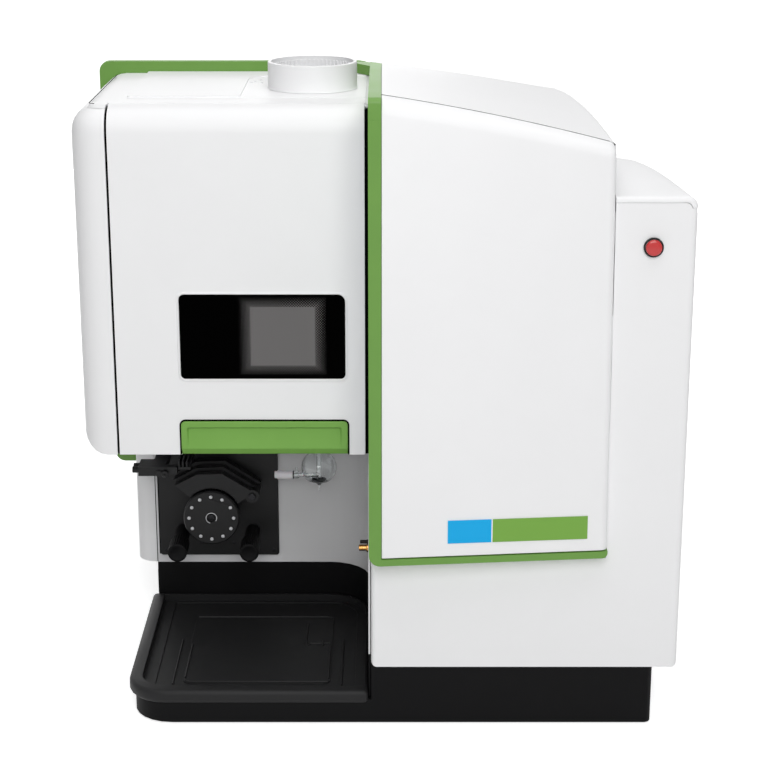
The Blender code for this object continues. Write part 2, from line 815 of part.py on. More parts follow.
def column_height(y):
    bend_end = COLUMN_SLOPE_START_Y
    along = min(y, bend_end) - COLUMN_CREST_Y
    height = COLUMN_CREST - along**2 / (2 * COLUMN_ROOF_RADIUS)
    return height - COLUMN_SLOPE * max(0, y - bend_end)


def column_corner(y):
    left_over = 1 - min((y - BODY_FACE) / (COLUMN_CORNER_FULL_Y - BODY_FACE), 1)
    return COLUMN_CORNER_BACK - (COLUMN_CORNER_BACK - COLUMN_CORNER_FRONT) * left_over**2


def depth_rows(front, back):
    """Places from front to back, closer together where the roofs bend."""
    shares = (0, 0.03, 0.08, 0.14, 0.20, 0.27, 0.34, 0.41, 0.5, 0.62, 0.75, 0.88, 1)
    return [front + (back - front) * share for share in shares]


def column_side(y):
    """The lower edge of the cap's side, straight between the rows that the cap is made of."""
    rows = depth_rows(BODY_FACE, BACK)
    after = next(index for index, row in enumerate(rows) if row >= y and index > 0)
    low, high = rows[after - 1], rows[after]
    ends = [column_height(row) - column_corner(row) for row in (low, high)]
    return ends[0] + (ends[1] - ends[0]) * (y - low) / (high - low) - GAP


def cap_section(y, place_y, inset):
    """The cap's section at y, drawn inset by a wall or an edge, and placed at place_y."""
    top = column_height(y)
    radius = column_corner(y)
    corner = arc((RIGHT - radius, top - radius), radius - inset, math.pi / 2, 0)
    return [(x, place_y, z) for x, z in [(COLUMN_LEFT, top - inset)] + corner]


def make_column_cap():
    """A roof with a rounded right side and a small rounded lip down its front."""
    outer = [cap_section(BODY_FACE, BODY_FACE, COLUMN_LIP)]
    inner = [cap_section(BODY_FACE, BODY_FACE + WALL, COLUMN_LIP)]
    steps = 3
    for step in range(steps + 1):
        angle = math.pi / 2 * step / steps
        back = COLUMN_LIP_ROUND * (1 - math.cos(angle))
        inset = COLUMN_LIP_ROUND * (1 - math.sin(angle))
        under = WALL + inset * (COLUMN_LIP - WALL) / COLUMN_LIP / 2
        outer.append(cap_section(BODY_FACE, BODY_FACE + back, inset))
        inner.append(cap_section(BODY_FACE, BODY_FACE + WALL + back / 2, under))
    for y in depth_rows(BODY_FACE, BACK)[1:]:
        outer.append(cap_section(y, y, 0))
        inner.append(cap_section(y, y, WALL))
    return sheet_between("column_cap", outer, inner, WHITE)


def make_right_side_cover():
    front = BODY_FACE + BODY_RETURN + GAP
    rows = depth_rows(BODY_FACE, BACK)
    top = [(front, column_side(front))] + [(y, column_side(y)) for y in rows if y > front]
    outline = [(front, COVER_FLOOR)] + top + [(BACK, COVER_FLOOR)]
    return prism("right_side_cover", outline, "X", RIGHT - WALL, RIGHT, WHITE)


def make_front_body_cover():
    top = column_height(BODY_FACE) - COLUMN_LIP - GAP
    back = BODY_FACE + BODY_RETURN
    corner_edges = ("left_front", "right_front", "left_bottom", "right_bottom")
    cover = soft_block(
        "front_body_cover",
        (BODY_LEFT, BODY_FACE, COVER_FLOOR),
        (RIGHT, back, top),
        BODY_CORNER,
        corner_edges,
        WHITE,
        4,
    )
    pocket = block(
        "pocket",
        (BODY_LEFT + WALL, BODY_FACE + WALL, COVER_FLOOR - OVERRUN),
        (RIGHT - WALL, back + OVERRUN, top + OVERRUN),
        WHITE,
    )
    notch_outline = [
        (BODY_LEFT - OVERRUN, GREEN_BOTTOM - GAP),
        (PANEL_RIGHT_BOTTOM + GAP, GREEN_BOTTOM - GAP),
        (panel_right(top + OVERRUN) + GAP, top + OVERRUN),
        (BODY_LEFT - OVERRUN, top + OVERRUN),
    ]
    notch = prism("notch", notch_outline, "Y", BODY_FACE - OVERRUN, back + OVERRUN, WHITE)
    trims = column_trims(top)
    stem = cylinder(
        "stem", "Y", (BUTTON_X, BUTTON_Z), BUTTON_STEM + RUNNING_GAP, BODY_FACE - OVERRUN, back, WHITE
    )
    return smooth(cut(cover, pocket, notch, stem, *trims))


def column_trims(top):
    """Cutters for the cover's top right corner, where the cap's lip and side come down over it."""
    corner = column_corner(BODY_FACE)
    centre = (RIGHT - corner, column_height(BODY_FACE) - corner - GAP)
    high = top + OVERRUN
    rim = arc(centre, corner - COLUMN_LIP - GAP, math.pi / 2, 0)
    front_outline = [(centre[0], high), (RIGHT + OVERRUN, high), (RIGHT + OVERRUN, centre[1])] + rim[::-1]
    front_trim = prism("front_trim", front_outline, "Y", BODY_FACE - OVERRUN, BODY_FACE + WALL + GAP, WHITE)
    side_trim = block(
        "side_trim",
        (RIGHT - WALL - OVERRUN, BODY_FACE + WALL, column_side(BODY_FACE + BODY_RETURN)),
        (RIGHT + OVERRUN, BODY_FACE + BODY_RETURN + OVERRUN, high),
        WHITE,
    )
    return front_trim, side_trim


def shoulder_radius(y):
    share = eased((y - PANEL_SEAM_Y) / (SHOULDER_FULL_Y - PANEL_SEAM_Y))
    return SHOULDER_FRONT + (SHOULDER_BACK - SHOULDER_FRONT) * share


def seam_x(y):
    """The left seam of the roof, which slants to the left beside the green corner."""
    share = min(max((y - SEAM_TURN_Y) / (GREEN_BACK_Y - SEAM_TURN_Y), 0), 1)
    return PANEL_LEFT + (SEAM_BACK_X - PANEL_LEFT) * share


def roof_rows():
    """Places from the panel's seam to the back, with the two ends of the slanted seam."""
    rows = depth_rows(PANEL_SEAM_Y + ROOF_REVEAL, BACK)
    return sorted(rows + [SEAM_TURN_Y, GREEN_BACK_Y])


def make_top_cover():
    """The roof of the right cabinet, with its right skirt."""
    roof_shares = (0, 0.1, 0.25, 0.4, 0.55, 0.7, 0.85, 1)
    outer = []
    inner = []
    for y in roof_rows():
        radius = shoulder_radius(y)
        turn_x = ROOF_RIGHT - radius
        turn_z = roof_height(turn_x, y) - radius
        skirt = column_height(y) - SKIRT_LAP
        left = seam_x(y)
        xs = [left + (turn_x - left) * share for share in roof_shares]
        section = [(x, roof_height(x, y)) for x in xs[:-1]]
        under = [(x, z - WALL) for x, z in section]
        section += arc((turn_x, turn_z), radius, math.pi / 2, 0) + [(ROOF_RIGHT, skirt)]
        under += arc((turn_x, turn_z), radius - WALL, math.pi / 2, 0) + [(ROOF_RIGHT - WALL, skirt)]
        outer.append([(x, y, z) for x, z in section])
        inner.append([(x, y, z) for x, z in under])
    return sheet_between("top_cover", outer, inner, WHITE)


def rear_roof(y):
    """The roof left of the seam, level with the roof right of it."""
    return roof_height(PANEL_LEFT, y)


def make_rear_left_cover():
    """The roof, left side and underside return behind the green frame."""
    outer = []
    inner = []
    for y in depth_rows(GREEN_BACK_Y + GAP, BACK):
        top = rear_roof(y)
        low = GREEN_BACK_BOTTOM
        radius = GREEN_CORNER
        right = SEAM_BACK_X - GAP
        end = LOWER_LEFT_X + WALL
        upper = (LEFT + radius, top - radius)
        lower = (LEFT + radius, low + radius)
        section = [(right, top)] + arc(upper, radius, math.pi / 2, math.pi)
        section += arc(lower, radius, math.pi, math.pi * 3 / 2) + [(end, low)]
        under = [(right, top - WALL)] + arc(upper, radius - WALL, math.pi / 2, math.pi)
        under += arc(lower, radius - WALL, math.pi, math.pi * 3 / 2) + [(end, low + WALL)]
        outer.append([(x, y, z) for x, z in section])
        inner.append([(x, y, z) for x, z in under])
    return sheet_between("rear_left_cover", outer, inner, WHITE)


def panel_right(z):
    """The panel's right edge, which leans to the left towards the top."""
    share = (z - GREEN_BOTTOM) / (ROOF_CREST - GREEN_BOTTOM)
    return PANEL_RIGHT_BOTTOM + (PANEL_RIGHT_TOP - PANEL_RIGHT_BOTTOM) * share


def front_plane(x_range, z_range, back):
    """Four corners of the panel's leaning plane, moved back by a distance."""
    low_x, high_x = x_range
    low_z, high_z = z_range
    face = [(low_x, low_z), (high_x, low_z), (high_x, high_z), (low_x, high_z)]
    return [(x, panel_face(x, z) + back, z) for x, z in face]


def green_band():
    """The band down the front with the strip along its foot, both as deep as the trim."""
    strip_top = GREEN_BOTTOM + GREEN_STRIP
    right = PANEL_RIGHT_BOTTOM
    outline = rounded(
        [
            (GREEN_LEFT, GREEN_BOTTOM, GREEN_CORNER),
            (right, GREEN_BOTTOM + GREEN_RISE, BODY_CORNER),
            (right, strip_top + GREEN_RISE, 0),
            (GREEN_RIGHT, strip_top, 0),
            (GREEN_RIGHT, ROOF_CREST, 0),
            (GREEN_LEFT, ROOF_CREST, 0),
        ]
    )
    band = prism("green_frame", outline, "Y", FRONT, PANEL_SEAM_Y - GAP, GREEN)
    x_range = (GREEN_LEFT - OVERRUN, right + OVERRUN)
    z_range = (GREEN_BOTTOM - OVERRUN, ROOF_CREST + OVERRUN)
    face = front_plane(x_range, z_range, -PANEL_PROUD)
    back = front_plane(x_range, z_range, GREEN_DEPTH)
    far = GREEN_DEPTH + BODY_INSET
    in_front = six_faced("in_front", [(x, y - far, z) for x, y, z in face] + face, GREEN)
    behind = six_faced("behind", back + [(x, y + far, z) for x, y, z in back], GREEN)
    return cut(band, in_front, behind)


def green_ribbon():
    """The trim's flat run from the top of the band back beside the housing."""
    face = panel_face(GREEN_LEFT, ROOF_CREST) - PANEL_PROUD
    bend = FRONT + PANEL_LEAN + GREEN_DEPTH
    low_front = ROOF_CREST - GREEN_RIBBON_HEIGHT
    outline = rounded(
        [
            (face, low_front, 0),
            (bend, low_front - GAP, 0),
            (GREEN_BACK_Y, GREEN_TOP_BACK - GREEN_RIBBON_HEIGHT, 0),
            (GREEN_BACK_Y, GREEN_TOP_BACK, 0),
            (face, ROOF_CREST, BODY_CORNER),
        ]
    )
    room = prism(
        "room",
        [
            (face - OVERRUN, low_front),
            (bend, low_front),
            (bend, ROOF_CREST + OVERRUN),
            (face - OVERRUN, ROOF_CREST + OVERRUN),
        ],
        "X",
        GREEN_LEFT - OVERRUN,
        GREEN_RIGHT + OVERRUN,
        GREEN,
    )
    return prism("ribbon", outline, "X", GREEN_LEFT, GREEN_RIGHT, GREEN), room


def green_rim():
    """The trim's loop behind the housing: across, down and back under."""
    low = GREEN_BACK_BOTTOM
    inside = LEFT + GREEN_BACK_RIM
    right = LEFT + GREEN_BACK_RETURN
    under = GREEN_TOP_BACK - GREEN_RIBBON_HEIGHT
    outline = rounded(
        [
            (GREEN_RIGHT, GREEN_TOP_BACK, 0),
            (LEFT, GREEN_TOP_BACK, GREEN_CORNER),
            (LEFT, low, GREEN_CORNER),
            (right, low, 0),
            (right, low + GREEN_BACK_RIM, 0),
            (inside, low + GREEN_BACK_RIM, 0),
            (inside, under, 0),
            (GREEN_RIGHT, under, 0),
        ]
    )
    return prism("rim", outline, "Y", GREEN_BACK_Y - GREEN_BACK_DEPTH, GREEN_BACK_Y, GREEN)


def green_corner():
    """A slanted web where the ribbon meets the rim, and the cutter beside the roof's slanted seam."""
    rim_front = GREEN_BACK_Y - GREEN_BACK_DEPTH
    left = SEAM_BACK_X - GREEN_SLANT_WIDTH
    start = SEAM_TURN_Y - GREEN_SLANT_WIDTH
    low = HOUSING_TOP + PLATEAU_RISE + RUNNING_GAP
    web_outline = [
        (GREEN_LEFT + SHEET, start),
        (GREEN_LEFT + SHEET, rim_front + SHEET),
        (left, rim_front + SHEET),
        (left, rim_front),
        (GREEN_LEFT, start),
    ]
    web = prism("web", web_outline, "Z", low, GREEN_TOP_BACK - GAP, GREEN)
    slant_outline = [
        (GREEN_RIGHT, SEAM_TURN_Y - GAP),
        (GREEN_RIGHT + OVERRUN, SEAM_TURN_Y - GAP),
        (GREEN_RIGHT + OVERRUN, GREEN_BACK_Y + OVERRUN),
        (SEAM_BACK_X - GAP, GREEN_BACK_Y + OVERRUN),
        (SEAM_BACK_X - GAP, GREEN_BACK_Y),
    ]
    slant = prism("slant", slant_outline, "Z", GREEN_BACK_BOTTOM, ROOF_CREST + OVERRUN, GREEN)
    return web, slant


def make_green_frame():
    """One long trim: a rim behind the housing, a ribbon forward, a band down the front and a strip."""
    frame = green_band()
    ribbon, room = green_ribbon()
    cut(frame, room)
    web, slant = green_corner()
    weld(frame, ribbon, green_rim(), web)
    return smooth(cut(frame, slant))


def make_chassis_deck():
    """The floor of the cabinet, cut back around the sample bay."""
    inside_right = RIGHT - WALL - GAP
    front = BODY_FACE + WALL + GAP
    back = REAR_FACE - GAP
    left = BAY_LEFT + GAP
    bay = BAY_BACK + WALL + GAP
    body_left = BODY_LEFT + WALL + GAP
    deck_outline = [
        (body_left, front),
        (inside_right, front),
        (inside_right, back),
        (left, back),
        (left, bay),
        (body_left, bay),
    ]
    return prism("chassis_deck", deck_outline, "Z", DECK_BOTTOM, DECK_TOP, STEEL)


def make_chassis_divider():
    """The upright wall between the torch side and the optics side."""
    back = REAR_FACE - GAP
    left = BODY_LEFT + WALL + GAP
    under_ribbon = ROOF_CREST - GREEN_RIBBON_HEIGHT - WALL
    divider_front = PANEL_SEAM_Y + GAP
    roof_front = GREEN_TOP_BACK - GREEN_RIBBON_HEIGHT - WALL
    slope_rows = [y for y in roof_rows() if GREEN_BACK_Y < y < back]
    slope = [(y, rear_roof(y) - 2 * WALL) for y in slope_rows]
    divider_outline = (
        [
            (divider_front, DECK_TOP + GAP),
            (back, DECK_TOP + GAP),
            (back, rear_roof(BACK) - 2 * WALL),
        ]
        + slope[::-1]
        + [(GREEN_BACK_Y, roof_front), (divider_front, under_ribbon)]
    )
    divider = prism("chassis_divider", divider_outline, "X", left, left + SHEET, STEEL)
    snout = cylinder("snout", "X", (TORCH_Y, SNOUT_Z), SNOUT_RADIUS + RUNNING_GAP, LEFT, RIGHT, STEEL)
    return cut(divider, snout)


def make_chassis_bulkhead():
    """The wall across the left side, behind the green rim."""
    front = GREEN_BACK_Y + GAP
    back = front + SHEET
    low = (LEFT + WALL + GAP, front, GREEN_BACK_BOTTOM + GREEN_CORNER)
    high = (BODY_LEFT + WALL, back, rear_roof(back) - GREEN_CORNER)
    return block("chassis_bulkhead", low, high, STEEL)


def make_rear_panel():
    """The steel back, recessed between the covers, with its cut-outs."""
    left_x = LOWER_LEFT_X + WALL + GAP
    right_x = RIGHT - WALL - GAP
    corner = COLUMN_CORNER_BACK
    column_top = column_height(BACK) - WALL - GAP
    roof_right = ROOF_RIGHT - WALL - GAP
    shoulder = SHOULDER_BACK
    wide_left = LEFT + WALL + GAP
    rise = GREEN_BACK_BOTTOM + WALL + GAP
    left_top = rear_roof(BACK) - WALL - GAP
    right_top = roof_height(ROOF_RIGHT - shoulder, BACK) - WALL - GAP
    middle_x = (PANEL_LEFT + ROOF_RIGHT) / 2
    outline = [
        (left_x, COVER_FLOOR),
        (right_x, COVER_FLOOR),
        (right_x, column_top - corner),
        (right_x - corner, column_top - GAP),
        (COLUMN_LEFT, column_top - GAP),
        (COLUMN_LEFT, column_top - SKIRT_LAP),
        (roof_right, column_top - SKIRT_LAP),
        (roof_right, right_top - shoulder),
        (roof_right - shoulder, right_top),
        (middle_x, roof_height(middle_x, BACK) - WALL - 2 * GAP),
        (PANEL_LEFT, left_top),
        (wide_left + GREEN_CORNER, left_top),
        (wide_left, left_top - GREEN_CORNER),
        (wide_left, rise + GREEN_CORNER),
        (wide_left + GREEN_CORNER, rise),
        (left_x, rise),
    ]
    panel = prism("rear_panel", outline, "Y", REAR_FACE, REAR_FACE + SHEET, STEEL)
    y_low = REAR_FACE - OVERRUN
    y_high = REAR_FACE + OVERRUN
    fan_hole = cylinder("fan_hole", "Y", (FAN_X, FAN_Z), FAN_RADIUS + GAP, y_low, y_high, STEEL)
    inlet_hole = block(
        "inlet_hole",
        (INLET_X - INLET_WIDTH / 2 - GAP, y_low, INLET_Z - INLET_HEIGHT / 2 - GAP),
        (INLET_X + INLET_WIDTH / 2 + GAP, y_high, INLET_Z + INLET_HEIGHT / 2 + GAP),
        STEEL,
    )
    switch_hole = block(
        "switch_hole",
        (SWITCH_X - SWITCH_WIDTH / 2 - RUNNING_GAP, y_low, INLET_Z - SWITCH_HEIGHT / 2 - RUNNING_GAP),
        (SWITCH_X + SWITCH_WIDTH / 2 + RUNNING_GAP, y_high, INLET_Z + SWITCH_HEIGHT / 2 + RUNNING_GAP),
        STEEL,
    )
    port_hole = cylinder("port_hole", "Y", (PORT_X, PORT_Z), PORT_RADIUS + GAP, y_low, y_high, STEEL)
    return cut(panel, fan_hole, inlet_hole, switch_hole, port_hole)


def make_mains_inlet():
    """A socket with a rim outside the back panel."""
    outside = REAR_FACE + SHEET + GAP
    front = REAR_FACE - INLET_DEPTH
    back = outside + INLET_FLANGE
    parts = []
    for name, margin, low_y, high_y in (
        ("mains_inlet", 0, front, back),
        ("rim", INLET_FLANGE, outside, back),
        ("socket", -INLET_FLANGE, front + INLET_FLANGE, back + OVERRUN),
    ):
        half_width = INLET_WIDTH / 2 + margin
        half_height = INLET_HEIGHT / 2 + margin
        low = (INLET_X - half_width, low_y, INLET_Z - half_height)
        high = (INLET_X + half_width, high_y, INLET_Z + half_height)
        parts.append(block(name, low, high, BLACK))
    inlet, rim, socket = parts
    return cut(weld(inlet, rim), socket)


def make_argon_port():
    """A brass bulkhead union with a six-sided nut."""
    outside = REAR_FACE + SHEET + GAP
    centre = (PORT_X, PORT_Z)
    nut = cylinder("argon_port", "Y", centre, PORT_NUT_RADIUS, outside, outside + PORT_NUT, BRASS, 6)
    stem = cylinder("stem", "Y", centre, PORT_RADIUS, REAR_FACE - PORT_NUT, BACK - GAP, BRASS, 16)
    return weld(nut, stem)


def switch_axis():
    return (SWITCH_X, REAR_FACE, INLET_Z)


def make_power_switch():
    """A rocker, with two faces that meet in a shallow valley."""
    x, y, z = switch_axis()
    half = SWITCH_HEIGHT / 2 - RUNNING_GAP
    crown = SWITCH_DEPTH / 2
    outline = [
        (y - crown, z - half / 2),
        (y + crown, z - half),
        (y + crown / 2, z),
        (y + crown, z + half),
        (y - crown, z + half / 2),
    ]
    switch = prism("power_switch", outline, "X", x - SWITCH_WIDTH / 2, x + SWITCH_WIDTH / 2, BLACK)
    return origin_on_axis(switch, switch_axis())


def spider_outline(centre):
    """A round boss with four arms that reach into the fan's frame."""
    points = []
    half_turn = math.asin(FAN_SPOKE / 2 / FAN_HUB)
    reach = FAN_RADIUS + FAN_SPOKE / 4
    half_reach = math.asin(FAN_SPOKE / 2 / reach)
    for arm in range(4):
        middle = math.pi / 4 + arm * math.pi / 2
        points += arc(centre, reach, middle - half_reach, middle + half_reach, 1)
        points += arc(centre, FAN_HUB, middle + half_turn, middle + math.pi / 2 - half_turn, 6)
    return points


def make_fan():
    centre = (FAN_X, FAN_Z)
    back = REAR_FACE - GAP
    front = back - FAN_DEPTH
    half = FAN_FRAME / 2
    frame = prism(
        "fan_frame",
        rectangle((FAN_X - half, FAN_Z - half), (FAN_X + half, FAN_Z + half), HANDLE_CORNER),
        "Y",
        front,
        back,
        BLACK,
    )
    hole = cylinder("hole", "Y", centre, FAN_RADIUS, front - OVERRUN, back + OVERRUN, BLACK)
    cut(frame, hole)
    spider = prism("spider", spider_outline(centre), "Y", front + GAP, front + FAN_SPOKE, BLACK)
    axle = cylinder("axle", "Y", centre, FAN_AXLE, front + 2 * GAP, back - FAN_SPOKE, BLACK, 12)
    weld(frame, spider, axle)
    hub_front = front + FAN_SPOKE + RUNNING_GAP
    hub_back = back - RUNNING_GAP
    rotor = pipe("fan_rotor", "Y", centre, FAN_HUB, FAN_AXLE + RUNNING_GAP, hub_front, hub_back, BLACK)
    middle = (hub_front + hub_back) / 2
    chord = (hub_back - hub_front) * FAN_CHORD_SHARE
    for turn in range(FAN_BLADES):
        blade = block(
            "blade",
            (FAN_X + FAN_HUB - FAN_AXLE, middle - FAN_BLADE_THICK / 2, FAN_Z - chord / 2),
            (FAN_X + FAN_RADIUS - 2 * GAP - FAN_AXLE, middle + FAN_BLADE_THICK / 2, FAN_Z + chord / 2),
            BLACK,
        )
        pitch = Matrix.Rotation(FAN_BLADE_TWIST, 4, "X")
        place = Matrix.Translation((FAN_X, middle, FAN_Z))
        blade.data.transform(place @ pitch @ place.inverted())
        turned_about(blade, centre, turn * 2 * math.pi / FAN_BLADES)
        weld(rotor, blade)
    return origin_on_axis(rotor, (FAN_X, middle, FAN_Z))


def turned_about(piece, centre, angle):
    """Turns a piece about an axis along Y through centre."""
    place = Matrix.Translation((centre[0], 0, centre[1]))
    piece.data.transform(place @ Matrix.Rotation(angle, 4, "Y") @ place.inverted())
    return piece


def housing_solid(name, inset, finish):
    """The housing's rounded outside, or an inside of it, which ends in front of the green rim."""
    return soft_block(
        name,
        (HOUSING_LEFT + inset, HOUSING_FRONT + inset, HOUSING_BOTTOM + inset),
        (HOUSING_RIGHT + inset, HOUSING_BACK + inset, HOUSING_TOP - inset),
        HOUSING_ROUND - inset,
        ("left_front", "left_top", "front_top", "left_bottom"),
        finish,
    )


def make_left_shell():
    shell = housing_solid("left_shell", 0, WHITE)
    edge = DOOR_LEFT - DOOR_GAP
    right_of = block(
        "right_of",
        (edge, HOUSING_FRONT - OVERRUN, HOUSING_BOTTOM - OVERRUN),
        (HOUSING_RIGHT + OVERRUN, HOUSING_BACK + OVERRUN, HOUSING_TOP + OVERRUN),
        WHITE,
    )
    top_plate = block(
        "top_plate",
        (TOP_SEAM_X, TOP_SEAM_FRONT, HOUSING_TOP - WALL - GAP),
        (edge + OVERRUN, HOUSING_BACK + OVERRUN, HOUSING_TOP + OVERRUN),
        WHITE,
    )
    return smooth(cut(shell, housing_solid("inside", WALL, WHITE), right_of, top_plate))


def make_housing_top():
    """The top cover with its raised plateau, and the recess and hole under the exhaust collar."""
    left = TOP_SEAM_X + GAP
    front = HINGE_Y + HINGE_BEAD + RUNNING_GAP
    under = HOUSING_TOP - WALL
    cover = housing_solid("housing_top_cover", 0, WHITE)
    high = HOUSING_TOP + OVERRUN
    region = block("region", (left, front, under), (HOUSING_RIGHT, HOUSING_BACK, high), WHITE)
    front_corner = block(
        "front_corner",
        (left, TOP_SEAM_FRONT + GAP, under),
        (DOOR_LEFT - DOOR_GAP, front + GAP, high),
        WHITE,
    )
    keep(cover, weld(region, front_corner))
    plateau_outline = rounded(
        [
            (PLATEAU_LEFT, PLATEAU_FRONT, WINDOW_CORNER),
            (HOUSING_RIGHT, PLATEAU_FRONT, 0),
            (HOUSING_RIGHT, HOUSING_BACK, 0),
            (PLATEAU_LEFT, HOUSING_BACK, 0),
        ]
    )
    top = HOUSING_TOP + PLATEAU_RISE
    plateau = prism("plateau", plateau_outline, "Z", under + SHEET / 2, top, WHITE)
    pad_outline = rounded(
        [
            (PAD_LEFT, PLATEAU_FRONT - OVERRUN, 0),
            (HOUSING_RIGHT + OVERRUN, PLATEAU_FRONT - OVERRUN, 0),
            (HOUSING_RIGHT + OVERRUN, PAD_BACK, 0),
            (PAD_LEFT, PAD_BACK, PAD_CORNER),
        ]
    )
    pad = prism("pad", pad_outline, "Z", top - PAD_DEPTH, top + OVERRUN, WHITE)
    centre = (COLLAR_X, TORCH_Y)
    hole = cylinder("hole", "Z", centre, EXHAUST_RADIUS + RUNNING_GAP, under - OVERRUN, top, WHITE)
    return smooth(cut(weld(cover, plateau), pad, hole))


def make_housing_floor():
    floor = block(
        "housing_floor",
        (DOOR_LEFT - DOOR_GAP + GAP, HOUSING_FRONT + DOOR_THICK + RUNNING_GAP, HOUSING_BOTTOM),
        (HOUSING_RIGHT, GREEN_BACK_Y - GREEN_BACK_DEPTH - GAP, HOUSING_BOTTOM + WALL),
        WHITE,
    )
    hole = cylinder(
        "hole",
        "Z",
        (TORCH_X, TORCH_Y),
        BULB_RADIUS / 2,
        HOUSING_BOTTOM - OVERRUN,
        HOUSING_BOTTOM + OVERRUN,
        WHITE,
    )
    return cut(floor, hole)


def make_torch_box():
    low_z = HOUSING_BOTTOM + WALL + GAP
    high_z = HOUSING_TOP - WALL - GAP
    back = GREEN_BACK_Y
    box = block("torch_box", (TORCH_BOX_LEFT, TORCH_BOX_FRONT, low_z), (TORCH_BOX_RIGHT, back, high_z), STEEL)
    room = block(
        "room",
        (TORCH_BOX_LEFT + SHEET, TORCH_BOX_FRONT - OVERRUN, low_z + SHEET),
        (TORCH_BOX_RIGHT - SHEET, back - SHEET, high_z - SHEET),
        STEEL,
    )
    rim_room = block(
        "rim_room",
        (LEFT, GREEN_BACK_Y - GREEN_BACK_DEPTH - GAP, GREEN_TOP_BACK - GREEN_RIBBON_HEIGHT - GAP),
        (RIGHT, BACK, HOUSING_TOP),
        STEEL,
    )
    chimney = cylinder(
        "chimney", "Z", (COLLAR_X, TORCH_Y), EXHAUST_RADIUS + RUNNING_GAP, high_z - OVERRUN, HOUSING_TOP, STEEL
    )
    floor_hole = cylinder(
        "floor_hole", "Z", (TORCH_X, TORCH_Y), BULB_RADIUS / 2, low_z - OVERRUN, low_z + OVERRUN, STEEL
    )
    side_hole = cylinder(
        "side_hole", "X", (TORCH_Y, SNOUT_Z), SNOUT_RADIUS + RUNNING_GAP, SNOUT_LEFT, BODY_LEFT, STEEL
    )
    return cut(box, room, rim_room, chimney, floor_hole, side_hole)


def collar_seat():
    return HOUSING_TOP + PLATEAU_RISE - PAD_DEPTH + GAP


def make_exhaust_duct():
    centre = (COLLAR_X, TORCH_Y)
    bore = EXHAUST_RADIUS - EXHAUST_WALL
    top = collar_seat() - GAP
    return pipe("exhaust_duct", "Z", centre, EXHAUST_RADIUS, bore, EXHAUST_BOTTOM, top, STEEL)


def make_duct_collar():
    """A flanged collar on the roof, open to the duct below."""
    seat = collar_seat()
    flange = COLLAR_RADIUS + COLLAR_FLANGE
    lip = COLLAR_FLANGE / 2
    profile = [
        (EXHAUST_RADIUS + RUNNING_GAP, seat),
        (flange, seat),
        (flange - lip, seat + lip),
        (COLLAR_RADIUS, seat + COLLAR_FLANGE),
        (COLLAR_RADIUS, COLLAR_TOP - lip),
        (COLLAR_RADIUS - lip, COLLAR_TOP),
        (COLLAR_BORE, COLLAR_TOP),
        (COLLAR_BORE, seat + COLLAR_FLANGE),
        (EXHAUST_RADIUS + RUNNING_GAP, seat + COLLAR_FLANGE),
    ]
    return turned("duct_collar", profile, "Z", (COLLAR_X, TORCH_Y), WHITE, 40)


def make_torch_tube():
    centre = (TORCH_X, TORCH_Y)
    bore = TORCH_RADIUS - TORCH_WALL
    return pipe("torch_tube", "Z", centre, TORCH_RADIUS, bore, TORCH_BOTTOM, TORCH_TOP, GLASS, 16)


def make_torch_mount():
    """A cast arm from the box's right wall, with a seat for the torch and a way for the neck."""
    centre = (TORCH_X, TORCH_Y)
    half = TORCH_MOUNT_WIDTH / 2
    base = TORCH_BOTTOM
    mount_low = base - TORCH_MOUNT_HEIGHT
    mount = block(
        "torch_mount",
        (TORCH_X - half, TORCH_Y - half, mount_low),
        (TORCH_BOX_RIGHT - SHEET - GAP, TORCH_Y + half, base + TORCH_MOUNT_HEIGHT / 2),
        ALLOY,
    )
    seat = cylinder("seat", "Z", centre, TORCH_RADIUS + GAP, base - GAP, TORCH_TOP, ALLOY)
    bore = cylinder("bore", "Z", centre, NECK_RADIUS + GAP, mount_low - OVERRUN, TORCH_TOP, ALLOY)
    return cut(mount, seat, bore)


def induction_plate(level, back):
    """One plate with a hole around the torch and a slot behind the hole."""
    left = TORCH_X - COIL_HALF_WIDTH
    right = TORCH_X + COIL_HALF_WIDTH
    front = TORCH_Y - COIL_HALF_WIDTH
    corner = HANDLE_CORNER
    outline = rounded([(left, front, corner), (right, front, corner), (right, back, 0), (left, back, 0)])
    plate = prism("plate", outline, "Z", level, level + COIL_PLATE, ALUMINIUM)
    low = level - OVERRUN
    high = level + OVERRUN
    bore = cylinder("bore", "Z", (TORCH_X, TORCH_Y), COIL_BORE, low, high, ALUMINIUM, 20)
    slot = block(
        "slot",
        (TORCH_X - COIL_SLOT / 2, TORCH_Y, low),
        (TORCH_X + COIL_SLOT / 2, back - COIL_HALF_WIDTH, high),
        ALUMINIUM,
    )
    return cut(plate, bore, slot)


def make_induction_plates():
    """Two plates around the torch on a shared foot at the back wall."""
    back = GREEN_BACK_Y - SHEET - GAP
    foot = block(
        "induction_plates",
        (TORCH_X - COIL_HALF_WIDTH - GAP, back - COIL_SLOT, COIL_Z - COIL_PLATE),
        (TORCH_X + COIL_HALF_WIDTH + GAP, back, COIL_Z + COIL_SPACING + 2 * COIL_PLATE),
        ALUMINIUM,
    )
    end = back - GAP
    return weld(foot, induction_plate(COIL_Z, end), induction_plate(COIL_Z + COIL_SPACING, end))


def bulb_points(radius):
    """The bulb's profile from low on its outside up to its neck."""
    points = []
    steps = 10
    for step in range(steps + 1):
        angle = BULB_START + (BULB_END - BULB_START) * step / steps
        points.append((radius * math.cos(angle), BULB_Z + radius * math.sin(angle)))
    return points


